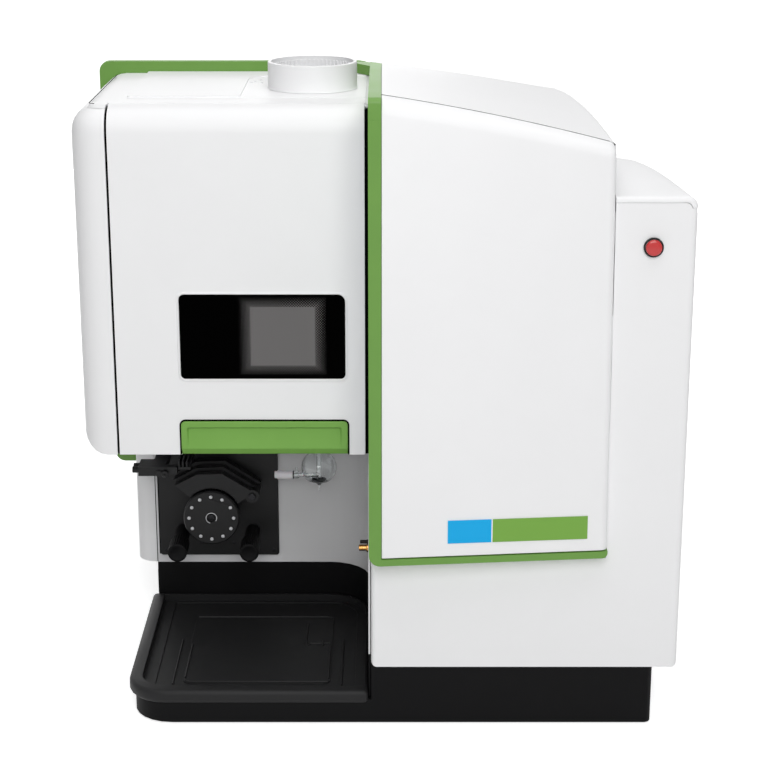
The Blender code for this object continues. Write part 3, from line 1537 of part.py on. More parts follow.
def make_spray_chamber():
    """A glass bulb with a neck up into the torch's mount, a drain below and a hole for the nebuliser."""
    outer = bulb_points(BULB_RADIUS)
    inner = bulb_points(BULB_RADIUS - GLASS_WALL)
    bore = NECK_RADIUS - GLASS_WALL
    drain_end = outer[0][1] - DRAIN_LENGTH
    drain = [(0, drain_end), (DRAIN_RADIUS, drain_end), (DRAIN_RADIUS, outer[0][1])]
    shoulder = BULB_Z + BULB_RADIUS
    neck = [(NECK_RADIUS, shoulder), (NECK_RADIUS, NECK_TOP), (bore, NECK_TOP), (bore, shoulder)]
    well = [(0, inner[0][1])]
    profile = drain + outer + neck + inner[::-1] + well
    chamber = turned("spray_chamber", profile, "Z", (TORCH_X, TORCH_Y), GLASS, 20)
    hole_radius = NEBULISER_TUBE_RADIUS + GAP
    hole = cylinder(
        "hole", "X", (TORCH_Y, NEBULISER_Z), hole_radius, NEBULISER_LEFT, nebuliser_end(), GLASS, 12
    )
    return cut(chamber, hole)


def nebuliser_end():
    return TORCH_X - BULB_RADIUS / 2


def make_nebuliser():
    """A pale body with a fine tube into the bulb and a short side arm."""
    line = (TORCH_Y, NEBULISER_Z)
    left = NEBULISER_LEFT
    right = left + NEBULISER_BODY
    body = cylinder("nebuliser", "X", line, NEBULISER_RADIUS, left, right, PALE, 16)
    tube_left = left + NEBULISER_BODY / 2
    tube = cylinder("tube", "X", line, NEBULISER_TUBE_RADIUS, tube_left, nebuliser_end() - GAP, PALE, 12)
    arm_place = (right + NEBULISER_RADIUS, TORCH_Y)
    arm_top = NEBULISER_Z + NEBULISER_ARM
    arm = cylinder("arm", "Z", arm_place, DRAIN_RADIUS, NEBULISER_Z, arm_top, PALE, 8)
    return weld(body, tube, arm)


def make_optics_box():
    """A cast casing, hollow, with an entrance for the light."""
    box = block(
        "optics_box",
        (OPTICS_LEFT, OPTICS_FRONT, OPTICS_BOTTOM),
        (OPTICS_RIGHT, OPTICS_BACK, OPTICS_TOP),
        ALLOY,
    )
    room = block(
        "room",
        (OPTICS_LEFT + OPTICS_WALL, OPTICS_FRONT + OPTICS_WALL, OPTICS_BOTTOM + OPTICS_WALL),
        (OPTICS_RIGHT - OPTICS_WALL, OPTICS_BACK - OPTICS_WALL, OPTICS_TOP - OPTICS_WALL),
        ALLOY,
    )
    bore = SNOUT_RADIUS - SNOUT_WALL
    inside = OPTICS_LEFT + OVERRUN
    entrance = cylinder("entrance", "X", (TORCH_Y, SNOUT_Z), bore, GREEN_LEFT, inside, ALLOY)
    return cut(box, room, entrance)


def make_optics_snout():
    """The tube that looks from the casing at the torch."""
    line = (TORCH_Y, SNOUT_Z)
    bore = SNOUT_RADIUS - SNOUT_WALL
    return pipe("optics_snout", "X", line, SNOUT_RADIUS, bore, SNOUT_LEFT, OPTICS_LEFT - GAP, ALLOY)


def electronics_case(name, left, front, size):
    """A sheet case on the deck, open at its back."""
    low = (left, front, DECK_TOP + GAP)
    high = tuple(a + b for a, b in zip(low, size))
    case = block(name, low, high, STEEL)
    inside = block(
        "inside",
        tuple(value + VENT_WALL for value in low),
        (high[0] - VENT_WALL, high[1] + OVERRUN, high[2] - VENT_WALL),
        STEEL,
    )
    return cut(case, inside)


def make_electronics():
    electronics_case("power_supply", SUPPLY_LEFT, SUPPLY_FRONT, SUPPLY_SIZE)
    electronics_case("rf_generator", GENERATOR_LEFT, GENERATOR_FRONT, GENERATOR_SIZE)


def window_outline(inset):
    low = (WINDOW_LEFT + inset, WINDOW_BOTTOM + inset)
    high = (WINDOW_RIGHT - inset, WINDOW_TOP - inset)
    return rectangle(low, high, WINDOW_CORNER - inset)


def handle_outline(inset):
    low_z = HOUSING_BOTTOM + DOOR_BOTTOM_LIFT
    return rounded(
        [
            (HANDLE_LEFT + inset, low_z + inset, HANDLE_CORNER / 2),
            (HANDLE_RIGHT - inset, low_z + inset, HANDLE_CORNER / 2),
            (HANDLE_RIGHT - inset, HANDLE_TOP - inset, HANDLE_CORNER),
            (HANDLE_LEFT + inset, HANDLE_TOP - inset, HANDLE_CORNER),
        ]
    )


def hinge_point():
    return ((DOOR_LEFT + DOOR_RIGHT) / 2, HINGE_Y, HINGE_Z)


def make_door():
    """The door's panel, which wraps over the top to a bead on its hinge pin."""
    panel = housing_solid("door_panel", 0, WHITE)
    region = block(
        "region",
        (DOOR_LEFT, HOUSING_FRONT - OVERRUN, HOUSING_BOTTOM + DOOR_BOTTOM_LIFT),
        (DOOR_RIGHT, HINGE_Y, HOUSING_TOP + OVERRUN),
        WHITE,
    )
    keep(panel, region)
    skin_top = soft_block(
        "skin_top",
        (LEFT, HOUSING_FRONT + DOOR_THICK, HOUSING_BOTTOM - OVERRUN),
        (RIGHT, HINGE_Y + OVERRUN, HOUSING_TOP - 2 * HINGE_BEAD),
        HOUSING_ROUND - DOOR_THICK,
        ("front_top",),
        WHITE,
    )
    bead = cylinder("bead", "X", (HINGE_Y, HINGE_Z), HINGE_BEAD, DOOR_LEFT, DOOR_RIGHT, WHITE)
    weld(cut(panel, skin_top), bead)
    pin_bore = cylinder(
        "pin_bore", "X", (HINGE_Y, HINGE_Z), HINGE_PIN_RADIUS + GAP, LEFT, RIGHT, WHITE, 12
    )
    window_hole = prism(
        "window_hole",
        window_outline(WINDOW_RIM),
        "Y",
        HOUSING_FRONT - OVERRUN,
        HOUSING_FRONT + DOOR_THICK + OVERRUN,
        WHITE,
    )
    rebate = prism(
        "rebate",
        window_outline(-GAP),
        "Y",
        HOUSING_FRONT - OVERRUN,
        HOUSING_FRONT + WINDOW_THICK + GAP,
        WHITE,
    )
    handle_seat = prism(
        "handle_seat",
        handle_outline(-RUNNING_GAP),
        "Y",
        HOUSING_FRONT - OVERRUN,
        HOUSING_FRONT + HANDLE_LIP / 2 + GAP,
        WHITE,
    )
    smooth(cut(panel, pin_bore, window_hole, rebate, handle_seat))
    return origin_on_axis(panel, hinge_point())


def make_door_window():
    back = HOUSING_FRONT + WINDOW_THICK
    window = prism("door_window", window_outline(0), "Y", HOUSING_FRONT + GAP, back, DARK_GLASS)
    return origin_on_axis(window, hinge_point())


def make_viewing_screen():
    """The dotted filter behind the window."""
    front = HOUSING_FRONT + WINDOW_THICK + GAP
    inset = WINDOW_RIM + GAP
    low = (SCREEN_LEFT, front, WINDOW_BOTTOM + inset)
    high = (SCREEN_RIGHT, front + SCREEN_THICK, WINDOW_TOP - inset)
    screen = block("viewing_screen", low, high, SCREEN)
    return origin_on_axis(screen, hinge_point())


def make_door_handle():
    """A green plate with a shallow field and a bevelled lower edge for the fingers."""
    face = HOUSING_FRONT - HANDLE_PROUD
    handle = prism("door_handle", handle_outline(0), "Y", face, HOUSING_FRONT + HANDLE_LIP / 2, GREEN)
    margin = HANDLE_FIELD_MARGIN
    field_low = HOUSING_BOTTOM + HANDLE_LIP
    low = (HANDLE_LEFT + margin, field_low)
    high = (HANDLE_RIGHT - margin, HANDLE_TOP - margin)
    field_outline = rectangle(low, high, HANDLE_CORNER / 2)
    field = prism("field", field_outline, "Y", face - OVERRUN, face + HANDLE_FIELD_DEPTH, GREEN)
    grip_outline = [
        (face - GAP, HOUSING_BOTTOM),
        (face - GAP, field_low - HANDLE_LIP / 2),
        (HOUSING_FRONT, HOUSING_BOTTOM),
    ]
    grip = prism("grip", grip_outline, "X", HANDLE_LEFT - OVERRUN, HANDLE_RIGHT + OVERRUN, GREEN)
    return origin_on_axis(cut(handle, field, grip), hinge_point())


def make_door_hinge_pin():
    line = (HINGE_Y, HINGE_Z)
    left = DOOR_LEFT - DOOR_GAP + GAP
    return cylinder("door_hinge_pin", "X", line, HINGE_PIN_RADIUS, left, GREEN_LEFT - GAP, STEEL, 12)


def make_button_bezel():
    seat = BODY_FACE - GAP
    centre = (BUTTON_X, BUTTON_Z)
    return pipe(
        "button_bezel", "Y", centre, BEZEL_RADIUS, BUTTON_RADIUS + GAP, seat - BEZEL_PROUD, seat, BLACK, 28
    )


def make_button():
    head_back = BODY_FACE - BEZEL_PROUD - 2 * GAP
    dome = BUTTON_HEAD / 3
    profile = [
        (0, head_back - BUTTON_HEAD),
        (BUTTON_RADIUS - dome, head_back - BUTTON_HEAD),
        (BUTTON_RADIUS, head_back - BUTTON_HEAD + dome),
        (BUTTON_RADIUS, head_back),
        (BUTTON_STEM, head_back),
        (BUTTON_STEM, head_back + BUTTON_STEM_LENGTH),
        (0, head_back + BUTTON_STEM_LENGTH),
    ]
    button = turned("stop_button", profile, "Y", (BUTTON_X, BUTTON_Z), RED)
    return origin_on_axis(button, (BUTTON_X, head_back, BUTTON_Z))


def make_label():
    corners = []
    for back in (-GAP - LABEL_THICK, -GAP):
        for x, z in (
            (LABEL_LEFT, LABEL_BOTTOM),
            (LABEL_RIGHT, LABEL_BOTTOM + LABEL_RISE),
            (LABEL_RIGHT, LABEL_TOP + LABEL_RISE),
            (LABEL_LEFT, LABEL_TOP),
        ):
            corners.append((x, panel_face(x, z) + back, z))
    return six_faced("label_plate", corners, LABEL)


def rotor_centre():
    return (ROTOR_X, ROTOR_Z)


def make_pump_plate():
    outline = rectangle((PLATE_LEFT, PLATE_BOTTOM), (PLATE_RIGHT, PLATE_TOP), PLATE_CORNER)
    plate = prism("pump_plate", outline, "Y", PLATE_FACE, BAY_BACK - GAP, BLACK)
    radius = SHAFT_RADIUS + RUNNING_GAP
    hole = cylinder("hole", "Y", rotor_centre(), radius, PLATE_FACE - OVERRUN, BAY_BACK, BLACK)
    return cut(plate, hole)


def make_pump_motor():
    front = BAY_BACK + SHEET + GAP
    motor = cylinder("pump_motor", "Y", rotor_centre(), MOTOR_RADIUS, front, front + MOTOR_LENGTH, STEEL)
    radius = SHAFT_RADIUS + RUNNING_GAP
    depth = MOTOR_LENGTH / 2
    socket = cylinder("socket", "Y", rotor_centre(), radius, front - OVERRUN, front + depth, STEEL)
    return cut(motor, socket)


def make_shoe_pin():
    """The pin that the three shoes turn on, with a head in front of them."""
    front = shoe_front() - RUNNING_GAP
    profile = [
        (0, front - SHOE_PIN_RADIUS),
        (SHOE_PIN_HEAD, front - SHOE_PIN_RADIUS),
        (SHOE_PIN_HEAD, front),
        (SHOE_PIN_RADIUS, front),
        (SHOE_PIN_RADIUS, PLATE_FACE - GAP),
        (0, PLATE_FACE - GAP),
    ]
    return turned("shoe_pin", profile, "Y", (SHOE_PIVOT_X, SHOE_PIVOT_Z), DARK_STEEL, 16)


def make_tube_clip_bar():
    """A bar for the tubes' ends, with a tongue, a screw and two small knobs."""
    clip = block(
        "tube_clip_bar",
        (CLIP_LEFT, CLIP_FRONT, CLIP_BOTTOM),
        (CLIP_BODY_RIGHT, PLATE_FACE - GAP, CLIP_TOP),
        BLACK,
    )
    tongue = block(
        "tongue",
        (CLIP_BODY_RIGHT - SHEET, CLIP_FRONT + GAP, CLIP_BOTTOM + SHEET),
        (CLIP_RIGHT, CLIP_FRONT + CLIP_TONGUE, CLIP_TOP - GAP),
        BLACK,
    )
    weld(clip, tongue)
    beside = block(
        "beside",
        (CLIP_LEFT - OVERRUN, CLIP_FRONT / 2 + PLATE_FACE / 2, CLIP_BOTTOM - OVERRUN),
        (PLATE_LEFT, PLATE_FACE + OVERRUN, CLIP_TOP + OVERRUN),
        BLACK,
    )
    cut(clip, beside)
    level = (CLIP_BOTTOM + CLIP_TOP) / 2
    radius = CLIP_KNOB_RADIUS
    end = CLIP_LEFT - CLIP_KNOB_LENGTH
    for y in (CLIP_FRONT + 2 * radius, CLIP_FRONT + 5 * radius):
        weld(clip, cylinder("knob", "X", (y, level), radius, end, CLIP_LEFT + GAP, BLACK, 12))
    place = (CLIP_BODY_RIGHT - CLIP_KNOB_LENGTH, level - radius / 2)
    screw = cylinder("screw", "Y", place, radius, CLIP_FRONT - SHEET, CLIP_FRONT + GAP, BLACK, 12)
    return weld(clip, screw)


def carrier_face():
    """The front of the carrier's disc, behind the rollers."""
    return ROTOR_FRONT + ROTOR_DISC + GAP + ROLLER_LENGTH


def shoe_front():
    return ROTOR_FRONT + ROTOR_DISC + 2 * RUNNING_GAP


def roller_places():
    places = []
    for index in range(ROLLER_COUNT):
        angle = math.pi / 2 + index * 2 * math.pi / ROLLER_COUNT
        x = ROTOR_X + ROLLER_RING * math.cos(angle)
        places.append((x, ROTOR_Z + ROLLER_RING * math.sin(angle)))
    return places


def make_pump_rotor():
    """The black front disc with its hub, and a hole for each roller's pin."""
    disc_back = ROTOR_FRONT + ROTOR_DISC
    bevel = ROTOR_DISC / 4
    bore = SHAFT_RADIUS + GAP
    recess = ROTOR_FRONT + HUB_RECESS_DEPTH
    profile = [
        (0, recess),
        (HUB_RECESS, recess),
        (HUB_RECESS, ROTOR_FRONT),
        (ROTOR_RADIUS - bevel, ROTOR_FRONT),
        (ROTOR_RADIUS, ROTOR_FRONT + bevel),
        (ROTOR_RADIUS, disc_back),
        (HUB_RADIUS, disc_back),
        (HUB_RADIUS, carrier_face() - GAP),
        (bore, carrier_face() - GAP),
        (bore, disc_back),
        (0, disc_back),
    ]
    disc = turned("pump_rotor", profile, "Y", rotor_centre(), BLACK, 36)
    radius = ROLLER_PIN_RADIUS + GAP
    for place in roller_places():
        cut(disc, cylinder("hole", "Y", place, radius, ROTOR_FRONT - OVERRUN, disc_back + GAP, BLACK, 10))
    return origin_on_axis(smooth(disc), (ROTOR_X, ROTOR_FRONT, ROTOR_Z))


def make_roller_carrier():
    """The steel disc with the shaft and the rollers."""
    face = carrier_face()
    back = face + CARRIER_DISC
    disc_back = ROTOR_FRONT + ROTOR_DISC
    carrier = cylinder("roller_carrier", "Y", rotor_centre(), CARRIER_RADIUS, face, back, STEEL)
    shaft_end = BAY_BACK + SHEET + MOTOR_LENGTH / 4
    shaft = cylinder("shaft", "Y", rotor_centre(), SHAFT_RADIUS, disc_back + GAP, shaft_end, STEEL, 16)
    weld(carrier, shaft)
    profile = [
        (0, ROTOR_FRONT - GAP),
        (ROLLER_PIN_RADIUS, ROTOR_FRONT - GAP),
        (ROLLER_PIN_RADIUS, disc_back + GAP),
        (ROLLER_RADIUS, disc_back + GAP),
        (ROLLER_RADIUS, face + CARRIER_DISC / 2),
        (0, face + CARRIER_DISC / 2),
    ]
    for place in roller_places():
        weld(carrier, turned("roller", profile, "Y", place, STEEL, 10))
    return origin_on_axis(smooth(carrier), (ROTOR_X, ROTOR_FRONT, ROTOR_Z))


def make_pressure_shoes():
    """Curved shoes, one for each tube, which hinge on one pin at their right end."""
    centre = rotor_centre()
    pivot = (SHOE_PIVOT_X, SHOE_PIVOT_Z)
    room = carrier_face() + CARRIER_DISC - shoe_front()
    pitch = room / SHOE_COUNT
    bore_arc = arc(centre, SHOE_BORE, SHOE_END, SHOE_START, SHOE_STEPS)
    for index in range(SHOE_COUNT):
        corners = []
        for radius, degrees in SHOE_CORNERS:
            angle = math.radians(degrees)
            radius += index * SHOE_GROWTH
            corners.append((ROTOR_X + radius * math.cos(angle), ROTOR_Z + radius * math.sin(angle)))
        outline = corners + bore_arc
        low = shoe_front() + index * pitch
        high = low + pitch - SHOE_SPACING
        shoe = prism(f"pressure_shoe_{index + 1}", outline, "Y", low, high, BLACK)
        lug = cylinder("lug", "Y", pivot, SHOE_LUG, low, high, BLACK, 16)
        bore_radius = SHOE_PIN_RADIUS + GAP
        bore = cylinder("bore", "Y", pivot, bore_radius, low - OVERRUN, high + OVERRUN, BLACK, 16)
        cut(weld(shoe, lug), bore)
        smooth(shoe)
        origin_on_axis(shoe, (pivot[0], low, pivot[1]))


def make_clamp_knobs():
    for name, x in (("clamp_knob_left", KNOB_LEFT_X), ("clamp_knob_right", KNOB_RIGHT_X)):
        bevel = KNOB_RADIUS / 8
        head_back = KNOB_FRONT + KNOB_HEAD
        profile = [
            (0, KNOB_FRONT),
            (KNOB_RADIUS - bevel, KNOB_FRONT),
            (KNOB_RADIUS, KNOB_FRONT + bevel),
            (KNOB_RADIUS, head_back - bevel),
            (KNOB_RADIUS - bevel, head_back),
            (KNOB_NECK, head_back),
            (KNOB_NECK, PLATE_FACE - GAP),
            (0, PLATE_FACE - GAP),
        ]
        knob = turned(name, profile, "Y", (x, KNOB_Z), BLACK)
        origin_on_axis(knob, (x, KNOB_FRONT, KNOB_Z))


def make_brass_fitting():
    centre = (BRASS_Y, BRASS_Z)
    root = BAY_RIGHT - GAP
    profile = [
        (0, root - BRASS_LENGTH),
        (BRASS_RADIUS, root - BRASS_LENGTH),
        (BRASS_RADIUS, root - BRASS_NUT),
        (BRASS_NUT_RADIUS, root - BRASS_NUT),
        (BRASS_NUT_RADIUS, root),
        (0, root),
    ]
    return turned("brass_fitting", profile, "X", centre, BRASS, 16)


def tray_outline(inset_left, inset_front, inset_back, inset_right, steps=ARC_STEPS):
    right = BAY_RIGHT - TRAY_CLEARANCE - inset_right
    back = BAY_BACK - TRAY_CLEARANCE - inset_back
    left = TRAY_LEFT + inset_left
    front = TRAY_FRONT + inset_front
    return rounded(
        [
            (left, front, PLINTH_CORNER - inset_left),
            (right, front, 0),
            (right, back, BAY_CORNER - inset_right),
            (left, back, 0),
        ],
        steps,
    )


def roll_edges(piece, width):
    """Rounds the edges between a piece's faces that meet at a wide angle."""
    bevel = piece.modifiers.new("roll", "BEVEL")
    bevel.width = width
    bevel.segments = 3
    bevel.limit_method = "ANGLE"
    bevel.angle_limit = math.radians(60)
    graph = bpy.context.evaluated_depsgraph_get()
    rolled = bpy.data.meshes.new_from_object(piece.evaluated_get(graph), depsgraph=graph)
    piece.modifiers.clear()
    piece.data = rolled


def make_tray():
    """The removable pan, with a rolled rim at the left and front and a stepped floor."""
    seat = TRAY_SEAT + GAP
    floor = seat + TRAY_FLOOR
    tray = prism("drip_tray", tray_outline(0, 0, 0, 0), "Z", seat - TRAY_LIP, TRAY_TOP, BLACK)
    roll_edges(tray, TRAY_ROLL)
    under = prism("under", plinth_outline(-GAP), "Z", seat - TRAY_LIP - OVERRUN, seat, BLACK)
    pan = prism(
        "pan",
        tray_outline(TRAY_RIM, TRAY_RIM, TRAY_BACK_RIM, TRAY_RIGHT_RIM),
        "Z",
        floor + TRAY_STEP,
        TRAY_TOP + OVERRUN,
        BLACK,
    )
    gutter = prism(
        "gutter",
        tray_outline(TRAY_GUTTER_LEFT, TRAY_GUTTER_FRONT, TRAY_RIM, TRAY_RIM),
        "Z",
        floor,
        TRAY_TOP + OVERRUN,
        BLACK,
    )
    cut(tray, pan, gutter, under)
    pad = prism(
        "pad",
        rectangle((TRAY_PAD_LEFT, TRAY_PAD_FRONT), (TRAY_PAD_RIGHT, TRAY_PAD_BACK), TRAY_PAD_CORNER),
        "Z",
        floor - TRAY_FLOOR / 2,
        floor + TRAY_STEP,
        BLACK,
    )
    return smooth(weld(tray, pad))


def centre_on_footprint():
    for piece in bpy.data.objects:
        piece.location -= Vector((WIDTH / 2, DEPTH / 2, 0))


def make_all():
    clear_scene()
    make_plinth()
    make_feet()
    make_chassis_deck()
    make_chassis_divider()
    make_chassis_bulkhead()
    make_bay()
    make_lower_left_cover()
    make_green_frame()
    make_front_panel()
    make_top_cover()
    make_front_body_cover()
    make_column_cap()
    make_right_side_cover()
    make_rear_left_cover()
    make_rear_panel()
    make_mains_inlet()
    make_argon_port()
    make_power_switch()
    make_fan()
    make_left_shell()
    make_housing_top()
    make_housing_floor()
    make_torch_box()
    make_exhaust_duct()
    make_duct_collar()
    make_torch_tube()
    make_torch_mount()
    make_induction_plates()
    make_spray_chamber()
    make_nebuliser()
    make_optics_box()
    make_optics_snout()
    make_electronics()
    make_door()
    make_door_window()
    make_viewing_screen()
    make_door_handle()
    make_door_hinge_pin()
    make_button()
    make_button_bezel()
    make_label()
    make_pump_plate()
    make_pump_motor()
    make_shoe_pin()
    make_tube_clip_bar()
    make_pump_rotor()
    make_roller_carrier()
    make_pressure_shoes()
    make_clamp_knobs()
    make_brass_fitting()
    make_tray()
    centre_on_footprint()


make_all()
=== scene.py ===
import math

import bmesh
import bpy
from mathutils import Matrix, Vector


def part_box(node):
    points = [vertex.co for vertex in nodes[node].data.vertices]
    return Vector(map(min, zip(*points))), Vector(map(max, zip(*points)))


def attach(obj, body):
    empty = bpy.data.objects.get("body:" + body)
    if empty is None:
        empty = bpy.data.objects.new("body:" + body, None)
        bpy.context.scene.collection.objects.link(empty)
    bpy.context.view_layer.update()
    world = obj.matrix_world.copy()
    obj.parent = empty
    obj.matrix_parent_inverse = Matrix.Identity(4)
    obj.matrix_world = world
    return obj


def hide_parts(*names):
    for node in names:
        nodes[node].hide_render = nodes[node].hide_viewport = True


# Looks of a bench-top plasma spectrometer. Metres, +Z up, the front faces -Y.

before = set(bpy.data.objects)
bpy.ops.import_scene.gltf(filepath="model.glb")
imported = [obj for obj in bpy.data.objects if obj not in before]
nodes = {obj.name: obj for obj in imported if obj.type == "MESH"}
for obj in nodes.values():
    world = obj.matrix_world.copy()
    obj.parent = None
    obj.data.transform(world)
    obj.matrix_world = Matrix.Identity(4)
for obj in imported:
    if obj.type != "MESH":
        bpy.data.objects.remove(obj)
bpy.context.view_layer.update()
print("model loaded:", len(nodes), "nodes")


def hexColour(text):
    channels = [int(text[i:i + 2], 16) / 255 for i in (1, 3, 5)]
    return tuple(c / 12.92 if c <= 0.04045 else ((c + 0.055) / 1.055) ** 2.4 for c in channels) + (1.0,)


def addNode(tree, kind, settings=None, links=None):
    node = tree.nodes.new(kind)
    for key, value in (settings or {}).items():
        if isinstance(key, int) or key in node.inputs:
            node.inputs[key].default_value = value
        else:
            setattr(node, key, value)
    for key, source in (links or {}).items():
        tree.links.new(source, node.inputs[key])
    return node


def newMaterial(name, surface):
    material = bpy.data.materials.new(name)
    material.use_nodes = True
    tree = material.node_tree
    shader = tree.nodes["Principled BSDF"]
    for key, value in surface.items():
        shader.inputs[key].default_value = value
    material.diffuse_color = shader.inputs["Base Color"].default_value
    where = addNode(tree, "ShaderNodeTexCoord").outputs["Object"]
    return material, tree, shader, where


# Sizes of a pattern are in millimetres, as on the real surface.
def perMetre(millimetres):
    return 1000 / millimetres  # texture scale for a feature of that size


def waveScale(millimetres):
    return perMetre(millimetres) * 2 * math.pi / 20  # a wave texture repeats every 2 pi / 20 of a unit


def addNoise(tree, where, millimetres, detail=2.0):
    noise = addNode(tree, "ShaderNodeTexNoise", {"Scale": perMetre(millimetres), "Detail": detail},
                    {"Vector": where})
    return noise.outputs["Fac"]


def addBump(tree, shader, height, look):
    bump = addNode(tree, "ShaderNodeBump", {"Strength": look["strength"], "Distance": look["depth"] / 1000},
                   {"Height": height})
    tree.links.new(bump.outputs["Normal"], shader.inputs["Normal"])


def varyRoughness(tree, shader, factor, look):
    span = addNode(tree, "ShaderNodeMapRange", {"To Min": look["rough"][0], "To Max": look["rough"][1]},
                   {"Value": factor})
    tree.links.new(span.outputs["Result"], shader.inputs["Roughness"])


def addTint(tree, shader, factor, look):
    mix = addNode(tree, "ShaderNodeMix", {"data_type": "RGBA"}, {"Factor": factor})
    mix.inputs[6].default_value = hexColour(look["dark"])
    mix.inputs[7].default_value = hexColour(look["light"])
    tree.links.new(mix.outputs[2], shader.inputs["Base Color"])


def addGrain(tree, shader, where, look):
    # a fine bump over the whole surface, and a slow drift of roughness
    addBump(tree, shader, addNoise(tree, where, look["grain"]), look)
    drift = addNoise(tree, where, look["drift"], detail=3.0)
    varyRoughness(tree, shader, drift, look)
    return drift


def grained(name, surface, look):
    # a fine grain over one colour, which drifts a little from dark to light
    surface = {"Base Color": hexColour(look["light"]), **surface}
    material, tree, shader, where = newMaterial(name, surface)
    addTint(tree, shader, addGrain(tree, shader, where, look), look)
    return material


def mottled(name, surface, look):
    # a smooth metal with soft spots
    material, tree, shader, where = newMaterial(name, surface)
    addTint(tree, shader, addNoise(tree, where, look["mottle"]), look)
    return material


def zincPlatedSteel():
    # sheet steel, zinc plated: a bluish metal with faint spangles of about 7 mm
    look = {"dark": "#b1b5ba", "light": "#bfc3c8", "spangle": 7, "rough": (0.30, 0.42)}
    material, tree, shader, where = newMaterial("zincPlatedSteel", {"Metallic": 1.0})
    cells = addNode(tree, "ShaderNodeTexVoronoi", {"Scale": perMetre(look["spangle"])}, {"Vector": where})
    tone = addNode(tree, "ShaderNodeSeparateColor", {}, {"Color": cells.outputs["Color"]})
    addTint(tree, shader, tone.outputs["Red"], look)
    varyRoughness(tree, shader, tone.outputs["Green"], look)
    return material


def milledAluminium():
    # aluminium plate, milled: bright, with tool marks about 1.6 mm apart
    look = {"dark": "#c4c6c8", "light": "#d6d8da", "marks": 1.5834, "wander": 0.6,
            "strength": 0.2, "depth": 0.03}
    material, tree, shader, where = newMaterial("milledAluminium", {"Metallic": 1.0, "Roughness": 0.28})
    wave = addNode(tree, "ShaderNodeTexWave",
                   {"Scale": waveScale(look["marks"]), "Distortion": look["wander"]}, {"Vector": where})
    addBump(tree, shader, wave.outputs["Fac"], look)
    addTint(tree, shader, wave.outputs["Fac"], look)
    return material


def turnedBrass():
    # brass, turned: warm metal with fine rings from the tool, about 1 mm apart
    look = {"dark": "#c08a4c", "light": "#d8a765", "mottle": 2, "rings": 0.9896,
            "strength": 0.15, "depth": 0.03}
    material, tree, shader, where = newMaterial("turnedBrass", {"Metallic": 1.0, "Roughness": 0.26})
    addTint(tree, shader, addNoise(tree, where, look["mottle"]), look)
    wave = addNode(tree, "ShaderNodeTexWave", {"Scale": waveScale(look["rings"])}, {"Vector": where})
    addBump(tree, shader, wave.outputs["Fac"], look)
    return material


def groundSteel():
    # stainless steel, ground: bright with hair-fine scratches
    look = {"dark": "#c9cacc", "light": "#e2e3e4", "scratch": 0.5, "stretch": (1, 0.08, 1),
            "rough": (0.20, 0.36)}
    material, tree, shader, where = newMaterial("groundStainlessSteel", {"Metallic": 1.0})
    along = addNode(tree, "ShaderNodeMapping", {"Scale": look["stretch"]}, {"Vector": where})
    scratches = addNoise(tree, along.outputs["Vector"], look["scratch"])
    addTint(tree, shader, scratches, look)
    varyRoughness(tree, shader, scratches, look)
    return material


def clearGlass():
    # borosilicate glass, flame worked: clear, seen by its edges and by a few long reflections
    look = {"colour": "#fbfdfd", "waves": 9, "strength": 0.08, "depth": 0.2}
    surface = {"Base Color": hexColour(look["colour"]), "IOR": 1.47, "Transmission Weight": 1.0,
               "Roughness": 0.02}
    material, tree, shader, where = newMaterial("borosilicateGlassClear", surface)
    addBump(tree, shader, addNoise(tree, where, look["waves"]), look)
    return material


def printedFilm():
    # polyester label film, screen printed in two plain fields and left bare: flat colour, satin face
    look = {"blue": "#06aae8", "line": "#f2f2f2", "green": "#76a745", "split": 0.3115, "lineEnd": 0.3190,
            "grain": 0.6, "strength": 0.08, "depth": 0.02, "drift": 10, "rough": (0.32, 0.40)}
    surface = {"IOR": 1.5, "Specular IOR Level": 0.25}
    material, tree, shader, where = newMaterial("polyesterFilmPrinted", surface)
    addGrain(tree, shader, where, look)
    low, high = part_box("label_plate")
    axes = addNode(tree, "ShaderNodeSeparateXYZ", {}, {"Vector": where})
    share = addNode(tree, "ShaderNodeMapRange", {"From Min": low[0], "From Max": high[0]},
                    {"Value": axes.outputs["X"]})
    fields = addNode(tree, "ShaderNodeValToRGB", {}, {"Fac": share.outputs["Result"]})
    ramp = fields.color_ramp
    ramp.interpolation = "CONSTANT"
    ramp.elements[0].color = hexColour(look["blue"])
    ramp.elements[1].position = look["split"]
    ramp.elements[1].color = hexColour(look["line"])
    ramp.elements.new(look["lineEnd"]).color = hexColour(look["green"])
    tree.links.new(fields.outputs["Color"], shader.inputs["Base Color"])
    return material


